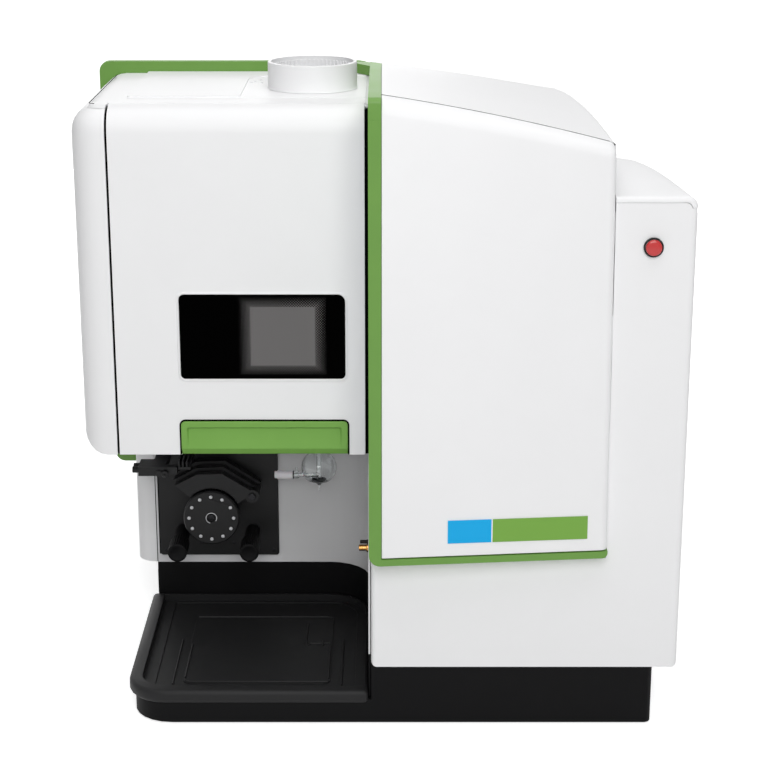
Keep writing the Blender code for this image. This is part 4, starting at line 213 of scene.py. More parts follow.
def filterGlass():
    # welding-shade glass with an anti-reflective coat, screen printed behind: black without a glare,
    # with grey dots that are solid in the middle and thin out to black at their rim
    look = {"dark": "#000000", "light": "#6f6d6d", "pitch": 2.9, "least": 0.98, "growth": 0.52,
            "full": 0.995, "centre": (-0.1025, 0.429), "half": (0.0475, 0.0440), "solid": (0.0350, 0.0330)}
    surface = {"IOR": 1.5, "Roughness": 0.2, "Specular IOR Level": 0.005}
    material, tree, shader, where = newMaterial("coatedFilterGlassPrinted", surface)
    axes = addNode(tree, "ShaderNodeSeparateXYZ", {}, {"Vector": where})

    def sums(operation, first, second):
        node = addNode(tree, "ShaderNodeMath", {"operation": operation})
        for index, value in enumerate((first, second)):
            if isinstance(value, (int, float)):
                node.inputs[index].default_value = value
            else:
                tree.links.new(value, node.inputs[index])
        return node.outputs[0]

    across, up = axes.outputs["X"], axes.outputs["Z"]
    turnsPerMetre = 2 * math.pi * perMetre(look["pitch"])
    waves = []
    for first, second in ((across, up), (across, sums("MULTIPLY", up, -1))):  # dots stand on the diagonals
        slanted = sums("ADD", first, second)
        waves.append(sums("SINE", sums("MULTIPLY", slanted, turnsPerMetre), 0))
    dots = sums("ADD", sums("MULTIPLY", sums("ADD", *waves), 0.25), 0.5)
    distances = []
    for value, middle, half, solid in zip((across, up), look["centre"], look["half"], look["solid"]):
        off = sums("ABSOLUTE", sums("SUBTRACT", value, middle), 0)
        distances.append(sums("DIVIDE", sums("SUBTRACT", half, off), half - solid))
    cover = sums("MINIMUM", sums("MINIMUM", *distances), 1.0)  # 1 in the middle, 0 at the rim
    level = sums("SUBTRACT", look["least"], sums("MULTIPLY", cover, look["growth"]))
    shown = sums("MAXIMUM", sums("GREATER_THAN", dots, level), sums("GREATER_THAN", cover, look["full"]))
    addTint(tree, shader, shown, look)
    return material


finishes = {
    # ABS cover, moulded and lacquered satin: a soft sheen, with a grain felt more than seen
    "cover": grained("whiteAbsLacquered", {"IOR": 1.5, "Specular IOR Level": 0.35},
                     {"dark": "#f0f0f1", "light": "#f3f3f4", "grain": 0.9, "strength": 0.18,
                      "depth": 0.04, "drift": 60, "rough": (0.40, 0.50)}),
    # ABS trim, moulded in green with a satin lacquer: even colour, a little glossier than the covers
    "trim": grained("greenAbsLacquered", {"IOR": 1.5, "Specular IOR Level": 0.42},
                    {"dark": "#608e39", "light": "#68963f", "grain": 0.8, "strength": 0.15,
                     "depth": 0.04, "drift": 45, "rough": (0.36, 0.46)}),
    # ABS pull, moulded in a lighter green and not lacquered: even colour with a weak sheen
    "handle": grained("greenAbsMoulded", {"IOR": 1.5, "Specular IOR Level": 0.25},
                      {"dark": "#70a047", "light": "#79aa50", "grain": 0.7, "strength": 0.15,
                       "depth": 0.04, "drift": 45, "rough": (0.36, 0.46)}),
    # polypropylene, moulded with a leathery spark-eroded texture: matt, with a weak sheen on edges
    "black": grained("blackPolypropyleneTextured", {"IOR": 1.49, "Specular IOR Level": 0.22},
                     {"dark": "#161617", "light": "#1b1b1c", "grain": 1.1, "strength": 0.35,
                      "depth": 0.09, "drift": 50, "rough": (0.46, 0.60)}),
    # the same, moulded coarser: darker and nearly without a sheen
    "plinth": grained("blackPolypropyleneMatt", {"IOR": 1.49, "Specular IOR Level": 0.08},
                      {"dark": "#0b0b0c", "light": "#0f0f10", "grain": 1.3, "strength": 0.35,
                       "depth": 0.09, "drift": 50, "rough": (0.46, 0.60)}),
    # glass-filled nylon, machined and moulded pump pieces: dark, with a fine satin sheen
    "pump": grained("blackNylonMoulded", {"IOR": 1.53, "Specular IOR Level": 0.2},
                    {"dark": "#101011", "light": "#181819", "grain": 0.7, "strength": 0.25,
                     "depth": 0.05, "drift": 20, "rough": (0.38, 0.52)}),
    # steel sheet, powder coated: orange-peel surface, even light grey
    "liner": grained("greyPowderCoatedSteel", {"IOR": 1.5, "Specular IOR Level": 0.4},
                     {"dark": "#dadadb", "light": "#e0e0e1", "grain": 1.6, "strength": 0.3,
                      "depth": 0.06, "drift": 80, "rough": (0.42, 0.55)}),
    # steel sheet, powder coated in pale grey: even and satin
    "paleSheet": grained("paleGreyPowderCoatedSteel", {"IOR": 1.5, "Specular IOR Level": 0.35},
                         {"dark": "#dcdcde", "light": "#e4e4e6", "grain": 1.4, "strength": 0.2,
                          "depth": 0.05, "drift": 40, "rough": (0.40, 0.52)}),
    "zinc": zincPlatedSteel(),
    # aluminium, sand cast: dull and grainy, with grains of about 1.5 mm
    "cast": grained("castAluminium", {"Metallic": 1.0},
                    {"dark": "#a6a8ab", "light": "#bdbfc1", "grain": 1.5, "strength": 0.5,
                     "depth": 0.12, "drift": 12, "rough": (0.48, 0.62)}),
    "milled": milledAluminium(),
    "ground": groundSteel(),
    # steel pin, oil blackened: nearly black metal with a low gloss and spots of about 3 mm
    "blackened": mottled("blackenedSteel", {"Metallic": 0.9, "Roughness": 0.4},
                         {"dark": "#1c1c1e", "light": "#2a2a2c", "mottle": 3}),
    # steel wire, drawn and chrome plated: mirror bright, a little uneven every 2 mm
    "wire": mottled("chromePlatedWire", {"Metallic": 1.0, "Roughness": 0.16},
                    {"dark": "#c8cacc", "light": "#dfe0e2", "mottle": 2}),
    # stainless pin heads, bead blasted: an even light grey from every side
    "satin": grained("beadBlastedSteel", {"Metallic": 0.6},
                     {"dark": "#b4b5b7", "light": "#c6c7c9", "grain": 0.4, "strength": 0.3,
                      "depth": 0.02, "drift": 5, "rough": (0.55, 0.65)}),
    "brass": turnedBrass(),
    "glass": clearGlass(),
    # glass joint, ground: a dull smoky grey where the bulb's foot is sanded
    "smoke": grained("groundGlassJoint", {"IOR": 1.47, "Specular IOR Level": 0.4},
                     {"dark": "#5f5f61", "light": "#77777a", "grain": 0.5, "strength": 0.25,
                      "depth": 0.03, "drift": 6, "rough": (0.30, 0.45)}),
    "filter": filterGlass(),
    # rubber feet, moulded: dull, with a dusty bloom
    "rubber": grained("blackRubberMoulded", {"IOR": 1.52, "Specular IOR Level": 0.3},
                      {"dark": "#151515", "light": "#222222", "grain": 0.8, "strength": 0.3,
                       "depth": 0.05, "drift": 15, "rough": (0.7, 0.85)}),
    # near-black strip set in a gap, with almost no sheen: painted shade that stands for the darkness of the
    # gap
    "gapShade": grained("paintedGapShade", {"IOR": 1.5, "Specular IOR Level": 0.02},
                    {"dark": "#020202", "light": "#040404", "grain": 0.6, "strength": 0.4,
                     "depth": 0.08, "drift": 20, "rough": (0.85, 0.95)}),
    # ABS button, moulded and polished: strong red with a clear highlight
    "red": grained("redAbsPolished", {"IOR": 1.5, "Coat Weight": 0.3, "Coat Roughness": 0.1},
                   {"dark": "#b5090b", "light": "#c01012", "grain": 1.0, "strength": 0.05,
                    "depth": 0.02, "drift": 6, "rough": (0.30, 0.38)}),
    "film": printedFilm(),
    # fluoropolymer, machined: waxy white that lets a little light in
    "pale": grained("paleFluoropolymerMachined",
                    {"IOR": 1.38, "Subsurface Weight": 0.15, "Subsurface Scale": 0.002},
                    {"dark": "#e6e6ea", "light": "#f0f0f3", "grain": 0.7, "strength": 0.1,
                     "depth": 0.03, "drift": 8, "rough": (0.30, 0.42)}),
}
print("materials made:", len(finishes))


def softenEdges(thing, width, angle):
    bevel = thing.modifiers.new("edge", "BEVEL")
    bevel.width = width
    bevel.segments = 2
    bevel.limit_method = "ANGLE"
    bevel.angle_limit = math.radians(angle)
    bevel.harden_normals = True
    return bevel


def dressNode(name, finish, edge):
    # closes the mesh's seams, joins its flat facets and rounds its edges a little
    dress = {"weld": 0.000002, "flat": 0.4, "turn": 32}
    node = nodes[name]
    node.data.materials.clear()
    node.data.materials.append(finishes[finish])
    for layer in list(node.data.attributes):
        if layer.name == "custom_normal":
            node.data.attributes.remove(layer)
    node.data.shade_smooth()
    node.modifiers.new("weld", "WELD").merge_threshold = dress["weld"]
    flat = node.modifiers.new("flat", "DECIMATE")
    flat.decimate_type = "DISSOLVE"
    flat.angle_limit = math.radians(dress["flat"])
    softenEdges(node, edge, dress["turn"]).miter_outer = "MITER_ARC"


dressing = {
    "cover": ["lower_left_cover", "front_panel", "column_cap", "right_side_cover", "front_body_cover",
              "top_cover", "rear_left_cover", "left_shell", "housing_top_cover", "housing_floor",
              "duct_collar", "door_panel"],
    "trim": ["green_frame"],
    "handle": ["door_handle"],
    "plinth": ["base_plinth", "backsplash"],
    "black": ["mains_inlet", "power_switch", "fan_frame", "fan_rotor", "drip_tray", "button_bezel"],
    "pump": ["pump_plate", "tube_clip_bar", "pump_rotor", "pressure_shoe_1", "pressure_shoe_2",
             "pressure_shoe_3", "clamp_knob_left", "clamp_knob_right"],
    "liner": ["bay_liner"],
    "zinc": ["chassis_deck", "chassis_divider", "chassis_bulkhead", "rear_panel", "torch_box",
             "exhaust_duct", "power_supply", "rf_generator", "pump_motor", "door_hinge_pin"],
    "blackened": ["shoe_pin", "roller_carrier"],
    "cast": ["torch_mount", "optics_box", "optics_snout"],
    "milled": ["induction_plates"],
    "glass": ["torch_tube", "spray_chamber"],
    "filter": ["door_window", "viewing_screen"],
    "rubber": ["foot_front_left", "foot_front_right", "foot_back_left", "foot_back_right"],
    "red": ["stop_button"],
    "film": ["label_plate"],
    "brass": ["brass_fitting", "argon_port"],
    "pale": ["nebuliser"],
}
edgeWidths = {"sheet": 0.0003, "usual": 0.0007, "pan": 0.0011}
sheetNodes = {"label_plate", "viewing_screen", "chassis_deck", "chassis_divider", "chassis_bulkhead",
              "rear_panel", "torch_box", "exhaust_duct", "bay_liner", "power_supply", "rf_generator",
              "induction_plates", "torch_tube", "spray_chamber", "roller_carrier", "pump_rotor", "column_cap"}
for finish, names in dressing.items():
    for name in names:
        kind = "sheet" if name in sheetNodes else "pan" if name == "drip_tray" else "usual"
        dressNode(name, finish, edgeWidths[kind])
undressed = set(nodes) - {name for names in dressing.values() for name in names}
print("nodes dressed; without a finish:", sorted(undressed))


# Ways of making the added pieces. A place function turns (across, up, out) of a face into a point.
def onFront(y):
    return lambda across, up, out: Vector((across, y - out, up))


def onBack(y):
    return lambda across, up, out: Vector((across, y + out, up))


def onTop(z):
    return lambda across, along, out: Vector((across, along, z + out))


def middleOf(box, *axes):
    return tuple((box[0][axis] + box[1][axis]) / 2 for axis in axes)


def finishPiece(name, mesh, finish, body, edge=None, sharp=35):
    piece = bpy.data.objects.new(name, mesh)
    bpy.context.scene.collection.objects.link(piece)
    mesh.materials.append(finishes[finish])
    mesh.shade_smooth()
    mesh.set_sharp_from_angle(angle=math.radians(sharp))
    if edge:
        softenEdges(piece, edge, sharp)
    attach(piece, body)
    return piece


def meshFrom(name, points, faces):
    shape = bmesh.new()
    corners = [shape.verts.new(point) for point in points]
    for face in faces:
        shape.faces.new([corners[index] for index in face])
    bmesh.ops.recalc_face_normals(shape, faces=shape.faces)
    mesh = bpy.data.meshes.new(name)
    shape.to_mesh(mesh)
    shape.free()
    return mesh


def ringsMesh(name, rings, closedRings, closedSpan):
    # skins equal rings of points; open spans get a cap at each end
    size = len(rings[0])
    points = [point for ring in rings for point in ring]
    faces = []
    for r in range(len(rings) if closedSpan else len(rings) - 1):
        after = (r + 1) % len(rings)
        for s in range(size if closedRings else size - 1):
            t = (s + 1) % size
            faces.append((r * size + s, r * size + t, after * size + t, after * size + s))
    if not closedSpan:
        faces.append(tuple(range(size)))
        faces.append(tuple((len(rings) - 1) * size + s for s in range(size)))
    return meshFrom(name, points, faces)


def arcPath(centre, radius, start, end, steps):
    path = []
    for step in range(steps + 1):
        angle = math.radians(start + (end - start) * step / steps)
        path.append((centre[0] + radius * math.cos(angle), centre[1] + radius * math.sin(angle)))
    return path


def circlePath(centre, radius, steps, start=0):
    return arcPath(centre, radius, start, start + 360, steps)[:-1]


def roundedLoop(low, high, radii, inset, steps=8):
    # radii from the lower left corner, against the clock; the same number of points at every inset
    corners = [(low[0], low[1], 180), (high[0], low[1], 270), (high[0], high[1], 0), (low[0], high[1], 90)]
    loop = []
    for (u, v, start), radius in zip(corners, radii):
        inwardU = 1 if u == low[0] else -1
        inwardV = 1 if v == low[1] else -1
        away = max(radius, inset)
        centre = (u + inwardU * away, v + inwardV * away)
        loop += arcPath(centre, max(radius - inset, 0), start, start + 90, steps)
    return loop


def sidesOf(path, closed):
    # the direction across the path at each of its points
    sides = []
    count = len(path)
    for index in range(count):
        before = path[index - 1] if closed or index else path[index]
        after = path[(index + 1) % count] if closed or index < count - 1 else path[index]
        along = Vector((after[0] - before[0], after[1] - before[1])).normalized()
        sides.append((along.y, -along.x))
    return sides


def addBead(name, path, profile, place, finish, body, closed=True, sharp=35):
    # a profile of (aside, out) points run along a path on a face
    rings = []
    for (u, v), (su, sv) in zip(path, sidesOf(path, closed)):
        rings.append([place(u + su * aside, v + sv * aside, out) for aside, out in profile])
    return finishPiece(name, ringsMesh(name, rings, True, closed), finish, body, sharp=sharp)


def addFrame(name, corners, radii, profile, place, finish, body):
    # a profile of (inset, out) points run around a rounded rectangle on a face
    rings = [[place(u, v, out) for u, v in roundedLoop(*corners, radii, inset)] for inset, out in profile]
    return finishPiece(name, ringsMesh(name, rings, True, True), finish, body)


def halfRound(width, height, sunk=0.0003, steps=6):
    profile = [(-width / 2, -sunk)]
    for step in range(steps + 1):
        angle = math.pi - math.pi * step / steps
        profile.append((width / 2 * math.cos(angle), height * math.sin(angle)))
    return profile + [(width / 2, -sunk)]


def addTurned(name, profile, centre, axis, finish, body, steps=48, flutes=None, sharp=35):
    # a profile of (radius, along) points turned about an axis; flutes cut the rings that carry a third value
    rings = []
    for point in profile:
        radius, along = point[:2]
        ring = []
        for step in range(steps):
            angle = 2 * math.pi * step / steps
            reach = radius
            if flutes and len(point) > 2:
                reach -= flutes["depth"] * (0.5 - 0.5 * math.cos(flutes["count"] * angle))
            u, v = centre[0] + reach * math.cos(angle), centre[1] + reach * math.sin(angle)
            ring.append(Vector({"X": (along, u, v), "Y": (u, along, v), "Z": (u, v, along)}[axis]))
        rings.append(ring)
    mesh = ringsMesh(name, rings, True, True)
    same = 0.0000005
    shape = bmesh.new()
    shape.from_mesh(mesh)
    bmesh.ops.remove_doubles(shape, verts=shape.verts, dist=same)
    bmesh.ops.dissolve_degenerate(shape, edges=shape.edges, dist=same)
    bmesh.ops.recalc_face_normals(shape, faces=shape.faces)
    shape.to_mesh(mesh)
    shape.free()
    return finishPiece(name, mesh, finish, body, sharp=sharp)


def shifted(outline, start):
    # an outline of (radius, along) points, moved along its axis
    return [(radius, start + along) for radius, along in outline]


def addHeads(name, heads, places, seat, axis, finish, body):
    # equal screw or pin heads, from an outline in shares of their radius and rise
    profile = [(heads["radius"] * wide, seat + heads["rise"] * high) for wide, high in heads["shares"]]
    for index, place in enumerate(places):
        addTurned(f"{name}{index + 1}", profile, place, axis, finish, body, steps=heads["steps"])


def addBlocks(name, boxes, finish, body, edge=None):
    # several small blocks of one kind as one piece
    points, faces = [], []
    for low, high in boxes:
        first = len(points)
        points += [(x, y, z) for z in (low[2], high[2]) for y in (low[1], high[1]) for x in (low[0], high[0])]
        for face in ((0, 2, 3, 1), (4, 5, 7, 6), (0, 1, 5, 4), (2, 6, 7, 3), (0, 4, 6, 2), (1, 3, 7, 5)):
            faces.append(tuple(first + index for index in face))
    return finishPiece(name, meshFrom(name, points, faces), finish, body, edge=edge)


def edgeDistance(point, low, high, radius):
    # how far a point lies inside a rounded rectangle
    qu = abs(point[0] - (low[0] + high[0]) / 2) - (high[0] - low[0]) / 2 + radius
    qv = abs(point[1] - (low[1] + high[1]) / 2) - (high[1] - low[1]) / 2 + radius
    return radius - math.hypot(max(qu, 0), max(qv, 0)) - min(max(qu, qv), 0)


def eased(value):
    value = min(max(value, 0), 1)
    return value * value * (3 - 2 * value)


def fineSteps(low, high, fine, reach, coarse):
    # close steps near both ends, wide ones between
    near = [low + fine * k for k in range(int(reach / fine))]
    far = [high - fine * k for k in range(int(reach / fine))][::-1]
    count = max(int((far[0] - near[-1]) / coarse), 1)
    return near + [near[-1] + (far[0] - near[-1]) * k / count for k in range(1, count)] + far


pull = {"round": 0.0012, "corner": 0.0048, "footCorner": 0.0005, "margin": 0.0062, "scoop": 0.0040,
        "wall": 0.0028, "band": 0.0078, "tilt": 0.62, "fieldCorner": 0.0035, "thinnest": 0.0005}


def makeHandle():
    # the green pull: a scooped field that runs out to a lower band tilted down for the fingers
    grid = {"fine": 0.0004, "reachUp": 0.009, "coarseUp": 0.0012, "reachAcross": 0.010, "coarseShare": 0.03}
    low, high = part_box("door_handle")
    left, face, bottom = low
    right, back, top = high
    width, corner, edge = right - left, pull["corner"], pull["round"]
    fieldLow = (left + pull["margin"], bottom + pull["band"])
    fieldHigh = (right - pull["margin"], top - pull["margin"])
    heights = fineSteps(bottom, top, grid["fine"], grid["reachUp"], grid["coarseUp"])
    shares = fineSteps(0.0, 1.0, grid["fine"] / width, grid["reachAcross"] / width, grid["coarseShare"])
    points, faces = [], []
    for z in heights:
        over = max(z - (top - corner), 0)
        narrow = corner - math.sqrt(max(corner ** 2 - over ** 2, 0))
        outline = corner if z > bottom + corner else pull["footCorner"]
        for share in shares:
            x = left + narrow + (width - 2 * narrow) * share
            inside = min(max(edgeDistance((x, z), (left, bottom), (right, top), outline), 0), edge)
            fall = edge - math.sqrt(edge ** 2 - (edge - inside) ** 2)
            inField = eased(edgeDistance((x, z), fieldLow, fieldHigh, pull["fieldCorner"]) / pull["wall"])
            slope = min(max((z - fieldLow[1]) / (fieldHigh[1] - fieldLow[1]), 0), 1)
            tilt = max(fieldLow[1] - z, 0) * pull["tilt"]
            y = face + fall + inField * slope * pull["scoop"] + tilt
            points.append((x, min(y, back - pull["thinnest"]), z))
    size, rows = len(shares), len(heights)
    for row in range(rows - 1):
        for column in range(size - 1):
            first = row * size + column
            faces.append((first, first + 1, first + size + 1, first + size))
    rim = list(range(size)) + [row * size + size - 1 for row in range(1, rows)]
    rim += [(rows - 1) * size + column for column in range(size - 2, -1, -1)]
    rim += [row * size for row in range(rows - 2, 0, -1)]
    first = len(points)
    points += [(points[index][0], back, points[index][2]) for index in rim]
    for place in range(len(rim)):
        after = (place + 1) % len(rim)
        faces.append((rim[place], rim[after], first + after, first + place))
    faces.append(tuple(range(first, first + len(rim))))
    handle = finishPiece("pullHandle", meshFrom("pullHandle", points, faces), "handle", "door", sharp=50)
    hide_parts("door_handle")


def makeHandleGapShade():
    # the near-black strip up both sides of the pull and over its top: painted shade of the gap between the
    # pull and the door
    shadeStrip = {"out": 0.0017, "in": 0.0001, "proud": 0.0014, "shoulder": 0.6, "deep": 0.004, "lift": 0.0005,
            "steps": 8}
    (left, _, bottom), (right, _, top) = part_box("door_handle")
    corner, foot, shoulder = pull["corner"], bottom + shadeStrip["lift"], shadeStrip["proud"] * shadeStrip["shoulder"]
    path = [(left, foot)] + arcPath((left + corner, top - corner), corner, 180, 90, shadeStrip["steps"])
    path += arcPath((right - corner, top - corner), corner, 90, 0, shadeStrip["steps"]) + [(right, foot)]
    profile = [(-shadeStrip["out"], -shadeStrip["deep"]), (-shadeStrip["out"], shoulder), (-shadeStrip["out"] / 2, shadeStrip["proud"]),
               (-shadeStrip["in"], shoulder), (-shadeStrip["in"], -shadeStrip["deep"])]
    addBead("handleGapShade", path, profile, onFront(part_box("door_panel")[0][1]), "gapShade", "door", closed=False)


def makeWindowTrim():
    # the moulded lip around the window outside, and the clamp frame that holds the glass inside
    radii = (0.0058, 0.0060, 0.0088, 0.0062)
    lip = {"wide": 0.0026, "rise": 0.0013, "over": 0.0005, "step": 0.0002, "sunk": 0.0012}
    clamp = {"wide": 0.0045, "thick": 0.0012, "over": 0.0025, "slope": 0.0005, "clear": 0.0001,
             "behind": 0.012}
    low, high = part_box("door_window")
    corners = ((low[0], low[2]), (high[0], high[2]))
    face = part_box("door_panel")[0][1]
    wide, rise, over, sunk = lip["wide"], lip["rise"], lip["over"], lip["sunk"]
    profile = [(over, -sunk), (over, lip["step"]), (0.0, rise * 0.75), (-wide * 0.3, rise),
               (-wide * 0.65, rise * 0.7), (-wide, 0.0), (-wide, -sunk)]
    addFrame("windowLip", corners, radii, profile, onFront(face), "cover", "door")
    wide, thick, over, clear = clamp["wide"], clamp["thick"], clamp["over"], clamp["clear"]
    profile = [(-wide, clear), (over, clear), (over, thick * 0.7), (over - clamp["slope"], thick),
               (clamp["slope"] - wide, thick), (-wide, thick * 0.7)]
    addFrame("windowClamp", corners, radii, profile, onBack(face + clamp["behind"]), "black", "door")


trimGap = {"clear": 0.0002, "side": -0.0088}  # room around a strip, and the left face of the green trim


def makeDoorGapShades():
    # near-black strips in the gaps at both sides of the door, up over the rounded front edge: painted shade
    # of the door's gaps
    shadeStrip = {"deep": 0.0022, "thick": 0.003, "round": 0.028, "lift": 0.0005, "arcEnd": 112, "steps": 8}
    low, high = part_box("door_panel")
    centre = (low[1] + shadeStrip["round"], high[2] - shadeStrip["round"])
    outer, inner = [[(low[1] + depth, low[2] + shadeStrip["lift"])]
                    + arcPath(centre, shadeStrip["round"] - depth, 180, shadeStrip["arcEnd"], shadeStrip["steps"])
                    for depth in (shadeStrip["deep"], shadeStrip["deep"] + shadeStrip["thick"])]
    clear = trimGap["clear"]
    sides = {"doorGapShadeLeft": (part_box("left_shell")[1][0] + clear, low[0] - clear),
             "doorGapShadeRight": (high[0] + clear, trimGap["side"])}
    for name, (left, right) in sides.items():
        rings = [[Vector((left, *near)), Vector((right, *near)), Vector((right, *far)), Vector((left, *far))]
                 for near, far in zip(outer, inner)]
        finishPiece(name, ringsMesh(name, rings, True, False), "gapShade", "instrument")


def makeHousingJoint():
    # the white strip between the housing's top and the green trim, and the joint around the top drawn as a
    # near-black bead: painted shade of the seam
    joint = {"drop": 0.0006, "thick": 0.004, "side": 0.0010, "front": 0.0012, "back": 0.030,
             "corner": 0.0060, "steps": 6, "wide": 0.0008, "proud": 0.0003, "edge": 0.0002}
    low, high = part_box("housing_top_cover")
    left, front, top = low[0] + joint["side"], low[1] + joint["front"], high[2] - joint["drop"]
    strip = ((high[0] + trimGap["clear"], front, top - joint["thick"]), (trimGap["side"], high[1], top))
    addBlocks("housingSideSeal", [strip], "cover", "instrument", edge=joint["edge"])
    # the joint's bead is near-black: painted shade of the seam around the top
    corner = joint["corner"]
    path = [(left + corner, front)]
    path += arcPath((left + corner, front + corner), corner, 270, 180, joint["steps"])
    path.append((left, high[1] - joint["back"]))
    addBead("housingJointShade", path, halfRound(joint["wide"], joint["proud"]), onTop(high[2]),
            "gapShade", "instrument", closed=False)


def makeCollarGrille():
    # the ring of short ribs inside the collar's mouth
    grille = {"count": 60, "bore": 0.0462, "root": 0.0002, "deep": 0.0012, "wide": 0.0020,
              "low": 0.0125, "high": 0.0045, "edge": 0.0002}
    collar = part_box("duct_collar")
    centre, top = middleOf(collar, 0, 1), collar[1][2]
    outside, inside = grille["bore"] + grille["root"], grille["bore"] - grille["deep"]
    points, faces = [], []
    for index in range(grille["count"]):
        angle = 2 * math.pi * index / grille["count"]
        outward = Vector((math.cos(angle), math.sin(angle), 0))
        aside = Vector((-math.sin(angle), math.cos(angle), 0)) * grille["wide"] / 2
        first = len(points)
        for z in (top - grille["low"], top - grille["high"]):
            for reach, side in ((outside, -1), (outside, 1), (inside, 1), (inside, -1)):
                points.append(Vector((*centre, z)) + outward * reach + aside * side)
        for face in ((0, 1, 2, 3), (7, 6, 5, 4), (0, 4, 5, 1), (1, 5, 6, 2), (2, 6, 7, 3), (3, 7, 4, 0)):
            faces.append(tuple(first + corner for corner in face))
    finishPiece("collarRibs", meshFrom("collarRibs", points, faces), "cover", "instrument",
                edge=grille["edge"])


def makeRecessScrews():
    # the small screws in the recess beside the collar
    screws = {"places": ((-0.1440, -0.0850), (-0.1405, -0.0780), (-0.1345, -0.0640), (-0.1325, -0.0860)),
              "radius": 0.0016, "rise": 0.0009, "sunk": 0.0003, "steps": 20,
              "shares": ((0, 0), (1, 0), (1, 0.5), (0.7, 1), (0.4, 1), (0.35, 0.3), (0, 0.3))}
    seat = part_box("duct_collar")[0][2] - screws["sunk"]
    addHeads("recessScrew", screws, screws["places"], seat, "Z", "paleSheet", "instrument")


def makeRotorTrim():
    # the retaining ring and socket in the rotor's hub, and the bright heads of the roller pins
    ring = {"radius": 0.0064, "width": 0.0009, "proud": 0.0005, "sunk": 0.0004, "start": -35, "end": 255,
            "steps": 40}
    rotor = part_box("pump_rotor")
    centre, face = middleOf(rotor, 0, 2), rotor[0][1]
    path = arcPath(centre, ring["radius"], ring["start"], ring["end"], ring["steps"])
    half, proud, sunk = ring["width"] / 2, ring["proud"], ring["sunk"]
    profile = [(-half, -sunk), (-half, proud * 0.7), (-half * 0.6, proud), (half * 0.6, proud),
               (half, proud * 0.7), (half, -sunk)]
    addBead("hubRing", path, profile, onFront(face), "satin", "pump_rotor", closed=False)
    socket = {"radius": 0.0042, "back": 0.0029, "bevel": 0.0006, "rim": 0.0002, "floor": 0.0018}
    radius = socket["radius"]
    back, bevel, rim, floor = [face + socket[key] for key in ("back", "bevel", "rim", "floor")]
    profile = [(0, back), (radius, back), (radius, bevel), (radius * 0.82, rim), (radius * 0.60, rim),
               (radius * 0.55, floor), (0, floor)]
    addTurned("hubSocket", profile, centre, "Y", "blackened", "pump_rotor", steps=6, sharp=20)
    pins = {"count": 12, "circle": 0.0268, "radius": 0.0021, "rise": -0.0009, "steps": 20,
            "shares": ((0, 0), (1, 0), (1, 5 / 9), (0.75, 1), (0.30, 1), (0.22, 5 / 9), (0, 5 / 9))}
    places = circlePath(centre, pins["circle"], pins["count"], start=90)
    addHeads("rollerPinHead", pins, places, face, "Y", "satin", "pump_rotor")


def makeKnobs():
    # fluted thumb knobs over the plain ones
    knob = {"flutes": {"count": 26, "depth": 0.0007}, "stepsPerFlute": 6, "bevel": 0.0014, "dish": 0.0006,
            "head": 0.034, "neck": 0.0088}
    bevel, dish, neck, flutes = knob["bevel"], knob["dish"], knob["neck"], knob["flutes"]
    for name, side in (("clamp_knob_left", "Left"), ("clamp_knob_right", "Right")):
        low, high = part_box(name)
        radius, front, back = (high[0] - low[0]) / 2, low[1], high[1]
        headBack = front + knob["head"]
        profile = [(0, front + dish), (radius * 0.62, front + dish), (radius * 0.70, front),
                   (radius - bevel, front), (radius - bevel * 0.3, front + bevel * 0.4),
                   (radius, front + bevel * 1.4, 1), (radius, headBack - bevel * 1.4, 1),
                   (radius - bevel * 0.3, headBack - bevel * 0.4), (radius - bevel, headBack),
                   (neck, headBack), (neck, back), (0, back)]
        piece = addTurned(f"fluted{side}Knob", profile, middleOf((low, high), 0, 2), "Y", "plinth", name,
                          steps=flutes["count"] * knob["stepsPerFlute"], flutes=flutes, sharp=50)
        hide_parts(name)


def makePumpPlateTrim():
    # cap screws in the pump's plate, the tube stops beside the shoes, and the tube clip's screw
    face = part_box("pump_plate")[0][1]
    screws = {"places": ((-0.2188, 0.1106), (-0.1780, 0.1106), (-0.2625, 0.2495), (-0.1285, 0.2495),
                         (-0.2625, 0.1005), (-0.1285, 0.1005)),
              "radius": 0.0021, "rise": -0.0008, "sunk": 0.0002, "steps": 20,
              "shares": ((0, 0), (1, 0), (1, 0.75), (0.85, 1), (0.5, 1), (0.45, 0.375), (0, 0.375))}
    addHeads("plateScrew", screws, screws["places"], face + screws["sunk"], "Y", "blackened", "instrument")
    stops = {"left": -0.2375, "wide": 0.0150, "low": 0.2262, "foot": 0.0035, "front": -0.1330,
             "clear": 0.0003, "count": 3, "pitch": 0.0046, "tooth": 0.0022, "toothLow": 0.0036,
             "high": 0.2385, "fall": 0.0012, "edge": 0.0004}
    left, front, low, back = stops["left"], stops["front"], stops["low"], face - stops["clear"]
    boxes = [((left, front, low), (left + stops["wide"], back, low + stops["foot"]))]
    for index in range(stops["count"]):
        x, top = left + index * stops["pitch"], stops["high"] - index * stops["fall"]
        boxes.append(((x, front, low + stops["toothLow"]), (x + stops["tooth"], back, top)))
    addBlocks("tubeStops", boxes, "pump", "instrument", edge=stops["edge"])
    clip = {"place": (-0.2529, 0.2225), "radius": 0.0042, "rise": 0.0022, "slot": 0.0016}
    front, radius, rise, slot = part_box("tube_clip_bar")[0][1], clip["radius"], clip["rise"], clip["slot"]
    profile = [(0, front), (radius, front), (radius, front - rise * 0.6), (radius * 0.85, front - rise),
               (slot, front - rise), (slot * 0.9, front - rise * 0.4), (0, front - rise * 0.4)]
    addTurned("clipScrew", profile, clip["place"], "Y", "pump", "instrument", steps=32)


